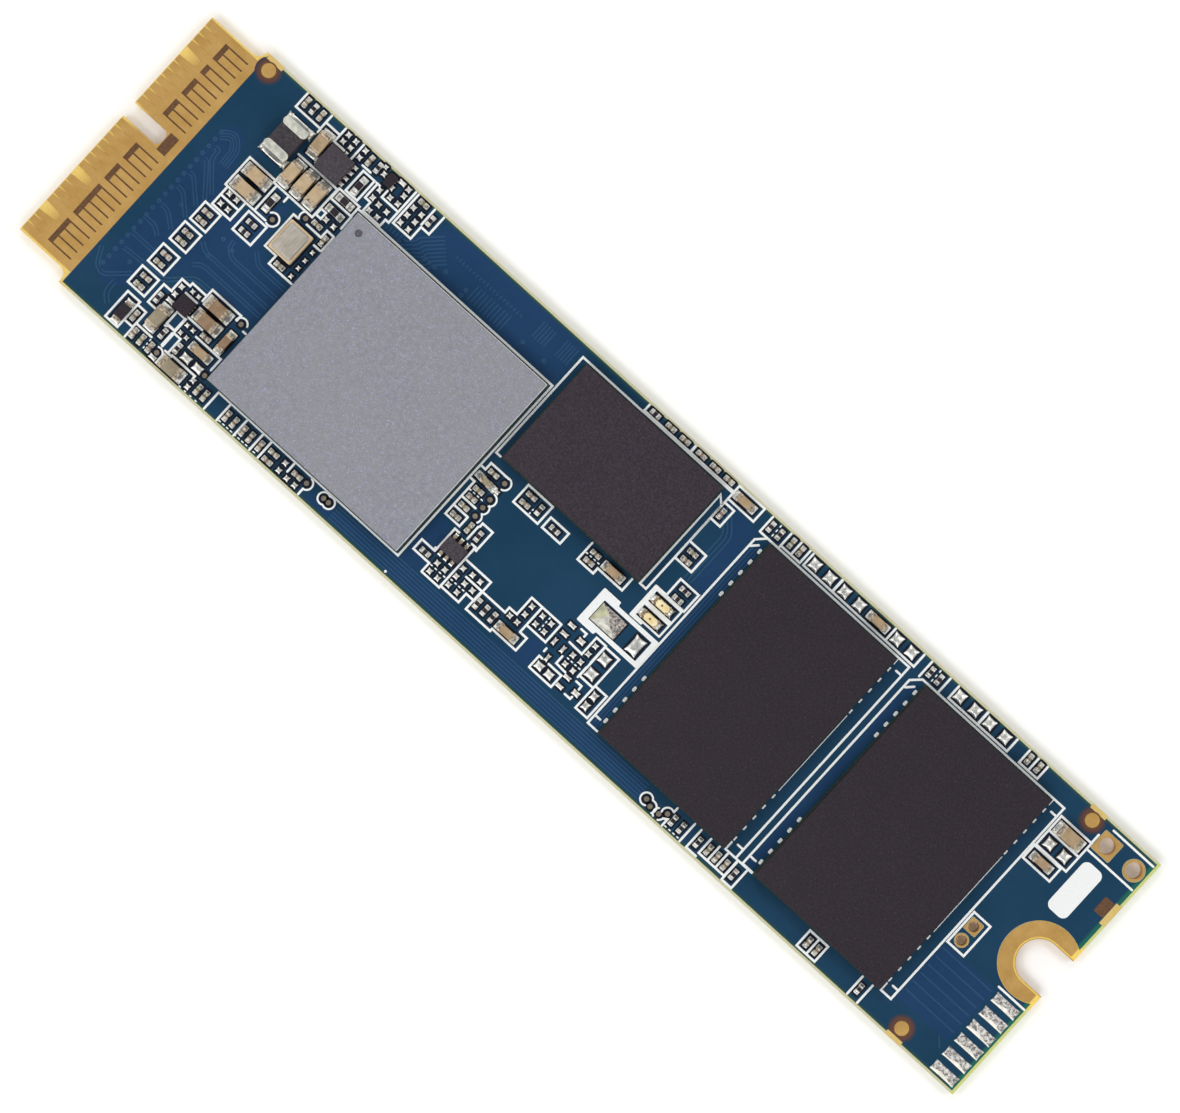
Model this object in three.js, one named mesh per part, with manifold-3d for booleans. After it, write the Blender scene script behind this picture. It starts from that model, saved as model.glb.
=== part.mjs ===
// A bare solid state drive: a long narrow circuit card with an edge connector at one end and a
// half-round mounting notch at the other, carrying a controller, a memory chip, two flash chips
// and their small parts on one side.
//
// Millimetres. X runs along the card from the edge connector (-X) to the mounting notch (+X),
// Y across it, and Z up from the bare side to the component side. The origin is the middle of the
// card's outline, on its underside.

import * as THREE from "three";
import { mergeVertices } from "three/addons/utils/BufferGeometryUtils.js";
import Module from "manifold-3d";

const wasm = await Module();
wasm.setup();

// ---------------------------------------------------------------------------------------------
// Driving dimensions
// ---------------------------------------------------------------------------------------------

const CARD_LENGTH = 89.3;
const CARD_WIDTH = 21.8;
const LAMINATE = 0.8; // bare glass laminate
const FOIL = 0.035; // copper, plating or lacquer on each face of it
const LAMINATE_BOTTOM = FOIL;
const LAMINATE_TOP = FOIL + LAMINATE;
const CARD_TOP = LAMINATE_TOP + FOIL;

const NOSE_X = -CARD_LENGTH / 2; // the edge that enters the socket
const TAIL_X = CARD_LENGTH / 2; // the edge with the mounting notch
const SIDE_Y = CARD_WIDTH / 2;

// Edge connector: a tab a little narrower than the card, with a key slot between two rows of contacts
const CONTACT_PITCH = 0.65;
const LONG_ROW = 16;
const SHORT_ROW = 12;
const LONG_ROW_TOP_Y = 0.6;
const SHORT_ROW_TOP_Y = 9.95;
const TAB_LOW_Y = -10.0;
const TAB_HIGH_Y = 10.1;
const SHOULDER_X = -40.15;
const SHOULDER_FILLET = 0.7;
const KEY_LOW_Y = 0.8;
const KEY_HIGH_Y = 2.0;
const KEY_END_X = -41.4;
const KEY_CORNER = 0.42;
const GOLD_NOSE_X = NOSE_X + 0.05;
const GOLD_HEEL_X = -39.95; // where the lacquer begins
const BAR_OUTER_X = -42.7; // window across the contacts that parts their tips from their tails
const BAR_INNER_X = -42.3;
const GAP_INNER_X = -40.56;
const CONTACT_GAP = 0.12;
// First and last gap of each window, counted from the row's high-Y end
const SHORT_ROW_WINDOWS = [[1, 3], [4, 5], [6, 8], [9, 11]];
const LONG_ROW_WINDOWS = [[1, 3], [4, 6], [7, 11], [12, 15]];

// Lacquer: it stops short of the card's edges and of every bare metal land
const LACQUER_MARGIN = 0.2;
const LACQUER_TAIL_X = TAIL_X - 0.23;
const LAND_CLEARANCE = 0.05;

// Mounting notch
const NOTCH_X = 42.92;
const NOTCH_Y = 0.05;
const NOTCH_RADIUS = 1.67;
const NOTCH_LINING = 0.05;
const NOTCH_RING_RADIUS = 2.92;
const NOTCH_RING_TAIL_X = 44.3;

// Plated holes: centre, hole radius, half width of the land, and whether the land is square
const PLATED_HOLES = [
  { name: "power_hole_square", x: 40.95, y: 9.3, hole: 0.6, land: 0.8, square: true },
  { name: "power_hole_round", x: 43.49, y: 9.3, hole: 0.6, land: 0.8, square: false },
  { name: "test_hole_square", x: 37.83, y: -1.18, hole: 0.38, land: 0.5, square: true },
  { name: "test_hole_round", x: 37.83, y: -2.45, hole: 0.38, land: 0.5, square: false },
];
const BARREL_WALL = 0.04;
const ARC_STEPS = 9; // half the straight sides that stand for a full circle

// Row of solder-coated service lands beside the notch
const SERVICE_LANDS = 6;
const SERVICE_PITCH = 1.27;
const SERVICE_FIRST_Y = -3.8;
const SERVICE_X = [42.15, 44.3];
const SERVICE_WIDTH = 0.8;
const SERVICE_SOLDER = 0.07; // solder above the lacquer
const SERVICE_BEVEL = 0.03;

// Ball grid packages: outline, and the heights of balls, carrier and moulded body
const PACKAGES = [
  { name: "controller", x: [-27.8, -9.75], y: [-9.0, 6.9], balls: 0.3, carrier: 0.3, mould: 0.75 },
  { name: "memory", x: [-8.87, 4.15], y: [0.85, 9.8], balls: 0.25, carrier: 0.2, mould: 0.65 },
  { name: "flash_1", x: [9.1, 21.15], y: [-8.9, 9.1], balls: 0.25, carrier: 0.2, mould: 0.75 },
  { name: "flash_2", x: [23.8, 35.85], y: [-8.9, 9.1], balls: 0.25, carrier: 0.2, mould: 0.75 },
];
const BALL_INSET = 0.7; // the grid of balls stops this far inside the package's edge
const MOULD_INSET = 0.1;
const MOULD_BEVEL = 0.06;
const CARRIER_COLOUR = 0x2c3a2e;

// Resonator: a ceramic base with a metal lid
const CRYSTAL = { x: -29.92, y: 2.12, width: 2.05, depth: 2.55, base: 0.55, lid: 0.2, rim: 0.18 };

// Power inductor: a ferrite core between two end caps, along Y
const INDUCTOR = { x: -34.95, y: 7.22, width: 2.0, core: 1.9, cap: 0.42, height: 1.2, rise: 0.05 };

// Small moulded chips: centre, outline and height
const SMALL_CHIPS = [
  { name: "voltage_regulator", x: -31.3, y: 8.2, width: 2.1, depth: 2.05, height: 0.85 },
  { name: "power_switch", x: -32.45, y: -6.2, width: 1.2, depth: 1.2, height: 0.6 },
  { name: "logic_gate", x: -6.97, y: -6.15, width: 1.7, depth: 1.15, height: 0.85 },
  { name: "protection_diode", x: -35.4, y: -9.4, width: 0.75, depth: 1.05, height: 0.5 },
  { name: "reset_chip", x: -27.65, y: 10.0, width: 0.62, depth: 1.0, height: 0.45 },
];
const SMALL_BEVEL = 0.04;

// Indicator lights
const LIGHT_X = 6.47;
const LIGHT_YS = [0.78, -0.48];
const LIGHT_BASE = { length: 1.6, width: 0.7, height: 0.2 };
const LIGHT_LENS = { length: 1.1, width: 0.66, height: 0.35 };

// Ceramic capacitors with metal end caps: centre, direction of their length, and size class
const CAPACITOR_SIZES = {
  large: { length: 1.85, width: 0.96, height: 0.9, cap: 0.38 },
  tall: { length: 1.7, width: 0.92, height: 0.9, cap: 0.34 },
  small: { length: 1.45, width: 0.62, height: 0.55, cap: 0.28 },
};
const CAP_LIP = 0.025; // how far the end caps stand proud of the ceramic
const TILT_OF_FIRST = 3; // degrees: the one beside the inductor sits a little crooked
const CAPACITORS = [
  { x: -33.0, y: 8.6, size: "tall", turn: 90 + TILT_OF_FIRST },
  { x: -33.12, y: 5.72, size: "tall", turn: 90 },
  { x: -31.96, y: 5.75, size: "tall", turn: 90 },
  { x: -30.8, y: 5.75, size: "tall", turn: 90 },
  { x: -34.78, y: 3.92, size: "tall", turn: 0 },
  { x: -34.78, y: 2.68, size: "tall", turn: 0 },
  { x: -30.48, y: -4.8, size: "tall", turn: 0 },
  { x: -30.48, y: -6.0, size: "tall", turn: 0 },
  { x: -33.25, y: -8.05, size: "tall", turn: 90 },
  { x: -30.2, y: -10.08, size: "tall", turn: 0 },
  { x: -28.6, y: -6.2, size: "small", turn: 90 },
  { x: -29.4, y: -7.9, size: "small", turn: 0 },
  { x: -0.33, y: -7.95, size: "small", turn: 0 },
  { x: 2.36, y: 0.2, size: "small", turn: 0 },
  { x: 5.92, y: 10.05, size: "small", turn: 0 },
  { x: 18.47, y: 10.12, size: "small", turn: 0 },
  { x: 38.53, y: 8.0, size: "large", turn: 0 },
  { x: 38.3, y: 5.35, size: "small", turn: 0 },
];

// ---------------------------------------------------------------------------------------------
// Materials
// ---------------------------------------------------------------------------------------------

function material(color, roughness, metalness) {
  return new THREE.MeshStandardMaterial({ color, roughness, metalness });
}

const CARD_FINISH = material(0x1d4263, 0.45, 0);
const GOLD = material(0xc39a58, 0.35, 1);
const SOLDER = material(0xb8b8b2, 0.3, 1);
const CARRIER = material(CARRIER_COLOUR, 0.6, 0);
const GREY_MOULD = material(0x93969f, 0.7, 0);
const BLACK_MOULD = material(0x34302f, 0.65, 0);
const FERRITE = material(0x2b2b2d, 0.6, 0);
const CERAMIC = material(0x9a7f63, 0.5, 0);
const PORCELAIN = material(0xb9a98d, 0.45, 0);
const LID = material(0xa9a294, 0.4, 1);
const LENS = material(0xe7cf86, 0.25, 0);

// ---------------------------------------------------------------------------------------------
// Shapes and solids
// ---------------------------------------------------------------------------------------------

function plate(shape, low, high, steps = ARC_STEPS) {
  const options = { depth: high - low, bevelEnabled: false, curveSegments: steps };
  return new THREE.ExtrudeGeometry(shape, options).translate(0, 0, low);
}

function rectangle(xs, ys) {
  const shape = new THREE.Shape();
  shape.moveTo(xs[0], ys[0]);
  shape.lineTo(xs[1], ys[0]);
  shape.lineTo(xs[1], ys[1]);
  shape.lineTo(xs[0], ys[1]);
  shape.closePath();
  return shape;
}

function around(x, y, halfWidth, halfDepth = halfWidth) {
  return rectangle([x - halfWidth, x + halfWidth], [y - halfDepth, y + halfDepth]);
}

function circle(x, y, radius) {
  const shape = new THREE.Shape();
  shape.absarc(x, y, radius, 0, 2 * Math.PI, false);
  return shape;
}

// A block standing on z = 0, its edges bevelled at both faces
function bevelledBlock(width, depth, height, bevel) {
  const outline = around(0, 0, width / 2 - bevel, depth / 2 - bevel);
  const geometry = new THREE.ExtrudeGeometry(outline, {
    depth: height - 2 * bevel,
    bevelEnabled: true,
    bevelThickness: bevel,
    bevelSize: bevel,
    bevelSegments: 1,
  });
  return geometry.translate(0, 0, bevel);
}

function block(width, depth, height, low = 0) {
  return new THREE.BoxGeometry(width, depth, height).translate(0, 0, low + height / 2);
}

function toSolid(geometry) {
  const bare = geometry.clone();
  bare.deleteAttribute("normal");
  bare.deleteAttribute("uv");
  const merged = mergeVertices(bare, 1e-5);
  const source = new wasm.Mesh({
    numProp: 3,
    vertProperties: merged.attributes.position.array,
    triVerts: new Uint32Array(merged.index.array),
  });
  return new wasm.Manifold(source);
}

function toGeometry(solid) {
  const mesh = solid.getMesh();
  const geometry = new THREE.BufferGeometry();
  geometry.setAttribute("position", new THREE.BufferAttribute(mesh.vertProperties, 3));
  geometry.setIndex(new THREE.BufferAttribute(mesh.triVerts, 1));
  geometry.computeVertexNormals();
  return geometry;
}

// One body from several overlapping geometries
function joined(...geometries) {
  const solids = geometries.map(toSolid);
  return toGeometry(solids.reduce((whole, next) => whole.add(next)));
}

function piece(name, geometry, finish, x = 0, y = 0, z = 0, turn = 0) {
  const mesh = new THREE.Mesh(geometry, finish);
  mesh.name = name;
  mesh.position.set(x, y, z);
  mesh.rotation.z = THREE.MathUtils.degToRad(turn);
  return mesh;
}

// ---------------------------------------------------------------------------------------------
// The card
// ---------------------------------------------------------------------------------------------

function keySlot(shape) {
  shape.lineTo(NOSE_X, KEY_HIGH_Y);
  shape.lineTo(KEY_END_X - KEY_CORNER, KEY_HIGH_Y);
  shape.absarc(KEY_END_X - KEY_CORNER, KEY_HIGH_Y - KEY_CORNER, KEY_CORNER, Math.PI / 2, 0, true);
  shape.absarc(KEY_END_X - KEY_CORNER, KEY_LOW_Y + KEY_CORNER, KEY_CORNER, 0, -Math.PI / 2, true);
  shape.lineTo(NOSE_X, KEY_LOW_Y);
}

// The notch as it is met going up the tail edge, from low Y to high Y
function notchPath(shape, radius, tailX) {
  shape.lineTo(tailX, NOTCH_Y - radius);
  shape.lineTo(NOTCH_X, NOTCH_Y - radius);
  shape.absarc(NOTCH_X, NOTCH_Y, radius, -Math.PI / 2, Math.PI / 2, true);
  shape.lineTo(tailX, NOTCH_Y + radius);
}

function laminateOutline() {
  const shape = new THREE.Shape();
  const filletX = SHOULDER_X - SHOULDER_FILLET;
  shape.moveTo(NOSE_X, TAB_LOW_Y);
  shape.lineTo(filletX, TAB_LOW_Y);
  shape.absarc(filletX, TAB_LOW_Y - SHOULDER_FILLET, SHOULDER_FILLET, Math.PI / 2, 0, true);
  shape.lineTo(SHOULDER_X, -SIDE_Y);
  shape.lineTo(TAIL_X, -SIDE_Y);
  notchPath(shape, NOTCH_RADIUS + NOTCH_LINING, TAIL_X);
  shape.lineTo(TAIL_X, SIDE_Y);
  shape.lineTo(SHOULDER_X, SIDE_Y);
  shape.absarc(filletX, TAB_HIGH_Y + SHOULDER_FILLET, SHOULDER_FILLET, 0, -Math.PI / 2, true);
  shape.lineTo(NOSE_X, TAB_HIGH_Y);
  keySlot(shape);
  shape.closePath();
  shape.holes = PLATED_HOLES.map((h) => circle(h.x, h.y, h.hole + BARREL_WALL));
  return shape;
}

function lacquerOutline(withServiceLands) {
  const edgeY = SIDE_Y - LACQUER_MARGIN;
  const opening = NOTCH_RING_RADIUS + LAND_CLEARANCE;
  const angle = Math.acos((LACQUER_TAIL_X - NOTCH_X) / opening);
  const shape = new THREE.Shape();
  shape.moveTo(GOLD_HEEL_X, -edgeY);
  shape.lineTo(LACQUER_TAIL_X, -edgeY);
  shape.absarc(NOTCH_X, NOTCH_Y, opening, -angle, angle, true);
  shape.lineTo(LACQUER_TAIL_X, edgeY);
  shape.lineTo(GOLD_HEEL_X, edgeY);
  shape.closePath();
  for (const h of PLATED_HOLES) {
    const half = h.land + LAND_CLEARANCE;
    shape.holes.push(h.square ? around(h.x, h.y, half) : circle(h.x, h.y, half));
  }
  if (withServiceLands) {
    for (let i = 0; i < SERVICE_LANDS; i += 1) {
      shape.holes.push(serviceOutline(i, LAND_CLEARANCE));
    }
  }
  return shape;
}

function circuitCard() {
  const laminate = plate(laminateOutline(), LAMINATE_BOTTOM, LAMINATE_TOP);
  const root = LAMINATE / 4; // how deep each lacquer solid reaches into the laminate it is joined to
  const top = plate(lacquerOutline(true), LAMINATE_TOP - root, CARD_TOP);
  const bottom = plate(lacquerOutline(false), 0, LAMINATE_BOTTOM + root);
  const core = toSolid(laminate);
  // The lacquer solids follow the laminate's own holes, so that their roots don't fill them
  const skins = [top, bottom].map((g) => toSolid(g));
  const card = skins.reduce((whole, skin) => whole.add(skin), core);
  const holes = PLATED_HOLES.map((h) => plate(circle(h.x, h.y, h.hole + BARREL_WALL), -1, CARD_TOP + 1));
  const cut = holes.reduce((whole, g) => whole.subtract(toSolid(g)), card);
  return piece("circuit_card", toGeometry(cut), CARD_FINISH);
}

// ---------------------------------------------------------------------------------------------
// Edge contacts
// ---------------------------------------------------------------------------------------------

// The opening between contact tips and tails that takes in the gaps first..last of a row
function contactWindow(rowTopY, first, last) {
  const half = CONTACT_GAP / 2;
  const path = new THREE.Path();
  path.moveTo(BAR_OUTER_X, rowTopY - first * CONTACT_PITCH + half);
  for (let gap = first; gap <= last; gap += 1) {
    const y = rowTopY - gap * CONTACT_PITCH;
    if (gap > first) {
      path.lineTo(BAR_INNER_X, y + half);
    }
    path.lineTo(GAP_INNER_X, y + half);
    path.lineTo(GAP_INNER_X, y - half);
    if (gap < last) {
      path.lineTo(BAR_INNER_X, y - half);
    }
  }
  path.lineTo(BAR_OUTER_X, rowTopY - last * CONTACT_PITCH - half);
  path.closePath();
  return path;
}

function contactRow(rowTopY, count, windows, strapHighY) {
  const lowY = rowTopY - count * CONTACT_PITCH;
  const shape = new THREE.Shape();
  shape.moveTo(GOLD_NOSE_X, lowY);
  shape.lineTo(GOLD_HEEL_X, lowY);
  shape.lineTo(GOLD_HEEL_X, strapHighY);
  if (strapHighY > rowTopY) {
    shape.lineTo(GAP_INNER_X, strapHighY);
    shape.lineTo(GAP_INNER_X, rowTopY);
  }
  shape.lineTo(GOLD_NOSE_X, rowTopY);
  shape.closePath();
  shape.holes = windows.map(([first, last]) => contactWindow(rowTopY, first, last));
  return shape;
}

function edgeContacts() {
  const shortLowY = SHORT_ROW_TOP_Y - SHORT_ROW * CONTACT_PITCH;
  const rows = {
    short: contactRow(SHORT_ROW_TOP_Y, SHORT_ROW, SHORT_ROW_WINDOWS, SHORT_ROW_TOP_Y),
    long: contactRow(LONG_ROW_TOP_Y, LONG_ROW, LONG_ROW_WINDOWS, shortLowY),
  };
  const pieces = [];
  for (const [row, shape] of Object.entries(rows)) {
    pieces.push(piece(`top_contacts_${row}_row`, plate(shape, LAMINATE_TOP, CARD_TOP), GOLD));
    pieces.push(piece(`bottom_contacts_${row}_row`, plate(shape, 0, LAMINATE_BOTTOM), GOLD));
  }
  return pieces;
}

// ---------------------------------------------------------------------------------------------
// Mounting notch, plated holes and service lands
// ---------------------------------------------------------------------------------------------

function notchRingOutline(outerRadius) {
  const angle = Math.acos((NOTCH_RING_TAIL_X - NOTCH_X) / outerRadius);
  const shape = new THREE.Shape();
  shape.absarc(NOTCH_X, NOTCH_Y, outerRadius, angle, 2 * Math.PI - angle, false);
  notchPath(shape, NOTCH_RADIUS, NOTCH_RING_TAIL_X);
  shape.closePath();
  return shape;
}

function notchLiningOutline() {
  const outer = NOTCH_RADIUS + NOTCH_LINING;
  const shape = new THREE.Shape();
  shape.moveTo(NOTCH_RING_TAIL_X, NOTCH_Y + outer);
  shape.lineTo(NOTCH_X, NOTCH_Y + outer);
  shape.absarc(NOTCH_X, NOTCH_Y, outer, Math.PI / 2, (3 * Math.PI) / 2, false);
  shape.lineTo(NOTCH_RING_TAIL_X, NOTCH_Y - outer);
  notchPath(shape, NOTCH_RADIUS, NOTCH_RING_TAIL_X);
  shape.closePath();
  return shape;
}

function notchPlating() {
  const ring = notchRingOutline(NOTCH_RING_RADIUS);
  const top = plate(ring, LAMINATE_TOP, CARD_TOP);
  const bottom = plate(ring, 0, LAMINATE_BOTTOM);
  const lining = plate(notchLiningOutline(), 0, CARD_TOP);
  return piece("notch_plating", joined(top, bottom, lining), GOLD);
}

function platedHole({ name, x, y, hole, land, square }) {
  const outline = () => (square ? around(0, 0, land) : circle(0, 0, land));
  const ring = outline();
  ring.holes = [circle(0, 0, hole)];
  const wall = circle(0, 0, hole + BARREL_WALL);
  wall.holes = [circle(0, 0, hole)];
  const top = plate(ring, LAMINATE_TOP, CARD_TOP);
  const bottom = plate(ring, 0, LAMINATE_BOTTOM);
  const barrel = plate(wall, 0, CARD_TOP);
  return piece(name, joined(top, bottom, barrel), GOLD, x, y);
}

function serviceOutline(index, clearance) {
  const y = SERVICE_FIRST_Y - index * SERVICE_PITCH;
  const half = SERVICE_WIDTH / 2 + clearance;
  return rectangle([SERVICE_X[0] - clearance, SERVICE_X[1] + clearance], [y - half, y + half]);
}

function serviceLands() {
  const length = SERVICE_X[1] - SERVICE_X[0];
  const middleX = (SERVICE_X[0] + SERVICE_X[1]) / 2;
  const height = FOIL + SERVICE_SOLDER;
  const pieces = [];
  for (let i = 0; i < SERVICE_LANDS; i += 1) {
    const land = bevelledBlock(length, SERVICE_WIDTH, height, SERVICE_BEVEL);
    const y = SERVICE_FIRST_Y - i * SERVICE_PITCH;
    pieces.push(piece(`service_land_${i + 1}`, land, SOLDER, middleX, y, LAMINATE_TOP));
  }
  return pieces;
}

// ---------------------------------------------------------------------------------------------
// Parts on the card
// ---------------------------------------------------------------------------------------------

function ballGridPackage({ name, x, y, balls, carrier, mould }) {
  const width = x[1] - x[0];
  const depth = y[1] - y[0];
  const middleX = (x[0] + x[1]) / 2;
  const middleY = (y[0] + y[1]) / 2;
  const grid = block(width - 2 * BALL_INSET, depth - 2 * BALL_INSET, balls);
  const base = block(width, depth, carrier);
  const body = bevelledBlock(width - 2 * MOULD_INSET, depth - 2 * MOULD_INSET, mould, MOULD_BEVEL);
  const finish = name === "controller" ? GREY_MOULD : BLACK_MOULD;
  const baseZ = CARD_TOP + balls;
  return [
    piece(`${name}_solder_balls`, grid, SOLDER, middleX, middleY, CARD_TOP),
    piece(`${name}_carrier`, base, CARRIER, middleX, middleY, baseZ),
    piece(`${name}_body`, body, finish, middleX, middleY, baseZ + carrier),
  ];
}

function resonator() {
  const { x, y, width, depth, base, lid, rim } = CRYSTAL;
  const cover = bevelledBlock(width - 2 * rim, depth - 2 * rim, lid, SMALL_BEVEL);
  return [
    piece("crystal_base", block(width, depth, base), PORCELAIN, x, y, CARD_TOP),
    piece("crystal_lid", cover, LID, x, y, CARD_TOP + base),
  ];
}

function powerInductor() {
  const { x, y, width, core, cap, height, rise } = INDUCTOR;
  const offset = (core + cap) / 2;
  const ferrite = bevelledBlock(width, core, height - rise, SMALL_BEVEL);
  const end = () => bevelledBlock(width, cap, height, SMALL_BEVEL);
  return [
    piece("inductor_core", ferrite, FERRITE, x, y, CARD_TOP + rise),
    piece("inductor_terminal_high", end(), SOLDER, x, y + offset, CARD_TOP),
    piece("inductor_terminal_low", end(), SOLDER, x, y - offset, CARD_TOP),
  ];
}

function smallChip({ name, x, y, width, depth, height }) {
  return piece(name, bevelledBlock(width, depth, height, SMALL_BEVEL), BLACK_MOULD, x, y, CARD_TOP);
}

function indicatorLight(y, index) {
  const base = block(LIGHT_BASE.length, LIGHT_BASE.width, LIGHT_BASE.height);
  const lensLow = LIGHT_BASE.height / 2; // the lens is rooted in the base it is moulded on
  const lens = block(LIGHT_LENS.length, LIGHT_LENS.width, LIGHT_LENS.height + lensLow, lensLow);
  return piece(`indicator_light_${index + 1}`, joined(base, lens), LENS, LIGHT_X, y, CARD_TOP);
}

function capacitor({ x, y, size, turn }, index) {
  const { length, width, height, cap } = CAPACITOR_SIZES[size];
  const inner = block(length - 2 * CAP_LIP, width - 2 * CAP_LIP, height - 2 * CAP_LIP, CAP_LIP);
  const offset = (length - cap) / 2;
  const low = block(cap, width, height).translate(-offset, 0, 0);
  const high = block(cap, width, height).translate(offset, 0, 0);
  const name = `capacitor_${String(index + 1).padStart(2, "0")}`;
  return piece(name, joined(inner, low, high), CERAMIC, x, y, CARD_TOP, turn);
}

// ---------------------------------------------------------------------------------------------
// The whole drive
// ---------------------------------------------------------------------------------------------

const drive = new THREE.Group();
drive.add(circuitCard());
drive.add(...edgeContacts());
drive.add(notchPlating());
drive.add(...PLATED_HOLES.map(platedHole));
drive.add(...serviceLands());
drive.add(...PACKAGES.flatMap(ballGridPackage));
drive.add(...resonator());
drive.add(...powerInductor());
drive.add(...SMALL_CHIPS.map(smallChip));
drive.add(...LIGHT_YS.map(indicatorLight));
drive.add(...CAPACITORS.map(capacitor));

export default drive;
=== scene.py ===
# The looks of a bare solid state drive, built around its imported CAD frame.
#
# Shapes are worked out in millimetres and turned into metres when a mesh is made. X runs along the card
# from the edge connector to the mounting notch, Y across it and Z up. The card lies on its bare side.

import math
import random

import bpy
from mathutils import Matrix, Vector
from mathutils.geometry import tessellate_polygon


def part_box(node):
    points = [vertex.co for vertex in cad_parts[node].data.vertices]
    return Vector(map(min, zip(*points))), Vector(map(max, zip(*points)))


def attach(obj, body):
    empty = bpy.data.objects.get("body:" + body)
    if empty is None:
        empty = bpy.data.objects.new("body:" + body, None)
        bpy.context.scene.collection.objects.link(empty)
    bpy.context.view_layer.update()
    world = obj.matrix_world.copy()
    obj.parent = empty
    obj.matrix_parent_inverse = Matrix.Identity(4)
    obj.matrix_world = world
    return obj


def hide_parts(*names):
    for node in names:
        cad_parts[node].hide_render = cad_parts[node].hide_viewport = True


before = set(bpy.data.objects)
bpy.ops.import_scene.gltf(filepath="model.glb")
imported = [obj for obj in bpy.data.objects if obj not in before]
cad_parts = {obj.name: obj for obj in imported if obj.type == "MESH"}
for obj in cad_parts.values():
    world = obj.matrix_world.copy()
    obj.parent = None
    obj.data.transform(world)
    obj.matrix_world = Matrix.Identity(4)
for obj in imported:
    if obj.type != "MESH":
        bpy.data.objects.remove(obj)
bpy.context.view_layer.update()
shuffle = random.Random(11)

MM = 0.001
ALONG_X, ALONG_Y = 0, 90  # directions of a small part, in degrees


def cad(node):
    """A CAD node's low and high corners in millimetres."""
    low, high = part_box(node)
    return [c / MM for c in low], [c / MM for c in high]


def footprint(node):
    """A CAD node's middle X and Y, its width along X and its depth along Y, in millimetres."""
    low, high = cad(node)
    return (low[0] + high[0]) / 2, (low[1] + high[1]) / 2, high[0] - low[0], high[1] - low[1]


# ------------------------------------------------------------------------------------------------
# Dimensions
# ------------------------------------------------------------------------------------------------

CARD_LOW, CARD_HIGH = cad("circuit_card")
NOSE_X, TAIL_X = CARD_LOW[0], CARD_HIGH[0]
SIDE_Y = CARD_HIGH[1]
TOP = CARD_HIGH[2]  # outer face of the lacquer
FOIL = 0.035  # copper, plating or lacquer on each face of the laminate
LAMINATE_LOW, LAMINATE_HIGH = FOIL, TOP - FOIL

# Edge connector
TAB_LOW_Y, TAB_HIGH_Y = -10.0, 10.1
SHOULDER_X = -40.15
SHOULDER_FILLET = 0.7
KEY_LOW_Y, KEY_HIGH_Y = 0.8, 2.0
KEY_END_X = -41.4
KEY_CORNER = 0.42
KEY_BED_Y = (0.55, 2.15)  # the bare laminate at the end of the key slot
PITCH = 0.65
GOLD_NOSE_X = NOSE_X + 0.05
GOLD_HEEL_X = -39.95
BAR_X = (-42.7, -42.3)
GAP_END_X = -40.56
GAP = 0.12
LONG_TOP_Y, LONG_COUNT = 0.6, 16
SHORT_TOP_Y, SHORT_COUNT = 9.95, 12
# Each window's first and last gap, counted from the row's high end
LONG_WINDOWS = [(1, 3), (4, 6), (7, 11), (12, 15)]
SHORT_WINDOWS = [(1, 3), (4, 5), (6, 8), (9, 11)]
LONG_BLANKS = [(-4.7, -3.9), (-8.0, -7.2)]  # tips left off, from low Y to high Y
SHORT_BLANKS = [(6.6, 7.4)]
BLANK_END_X = -43.1
TAPER_END_X = -43.35
TAPER_GAP = 0.14
BLANK_TAPER = 0.08  # how far a blank's sides lean in
GAP_FLOOR = 0.008  # thickness of the bare laminate that shows between the contacts
GAP_MARGIN = 0.06  # how far it reaches under the gold

# Lacquer
LACQUER_SIDE_Y = SIDE_Y - 0.2
LACQUER_TAIL_X = TAIL_X - 0.23

# Mounting notch and plated holes
NOTCH = (42.92, 0.05)
NOTCH_RADIUS = 1.67
NOTCH_LINING = 0.05
NOTCH_LIP = 0.16  # bare laminate between the lining and the ring
RING_RADIUS = 2.92
RING_TAIL_X = 44.3
LAND_CLEARANCE = 0.05
HOLES = {
    "power_hole_square": (0.6, True),
    "power_hole_round": (0.6, False),
    "test_hole_square": (0.38, True),
    "test_hole_round": (0.38, False),
}
BARREL_WALL = 0.04
HOLE_RIM = 0.012

# Layers on top of the lacquer. Their heights differ, so that no two tops share a plane.
FIELD_RISE = 0.002
BED_RISE = 0.004
TRACE_RISE = 0.014
OPENING_RISE = 0.006
INK_RISE = 0.022
INK_STEP = 0.00012  # each mark lies a hair above the one before
LAND_RISE = 0.03
INK_WIDTH = 0.165
ARC_WIDTH = 0.135


# ------------------------------------------------------------------------------------------------
# Mesh making
# ------------------------------------------------------------------------------------------------


def signed_area(loop):
    return 0.5 * sum(a[0] * b[1] - b[0] * a[1] for a, b in zip(loop, loop[1:] + loop[:1]))


def rounded(x, y, width, depth, radius, steps=3):
    """A rectangle with round corners, anticlockwise."""
    radius = min(radius, width / 2, depth / 2)
    points = []
    for quarter, (side_x, side_y) in enumerate([(1, 1), (-1, 1), (-1, -1), (1, -1)]):
        corner_x = x + side_x * (width / 2 - radius)
        corner_y = y + side_y * (depth / 2 - radius)
        for step in range(steps + 1):
            angle = math.pi / 2 * (quarter + step / steps)
            points.append((corner_x + radius * math.cos(angle), corner_y + radius * math.sin(angle)))
    return points


def circle(x, y, radius, steps=48):
    turns = [math.tau * step / steps for step in range(steps)]
    return [(x + radius * math.cos(a), y + radius * math.sin(a)) for a in turns]


def arc(x, y, radius, start, end, steps=24):
    """Points on an arc, with its angles in degrees."""
    turns = [math.radians(start + (end - start) * step / steps) for step in range(steps + 1)]
    return [(x + radius * math.cos(a), y + radius * math.sin(a)) for a in turns]


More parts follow.
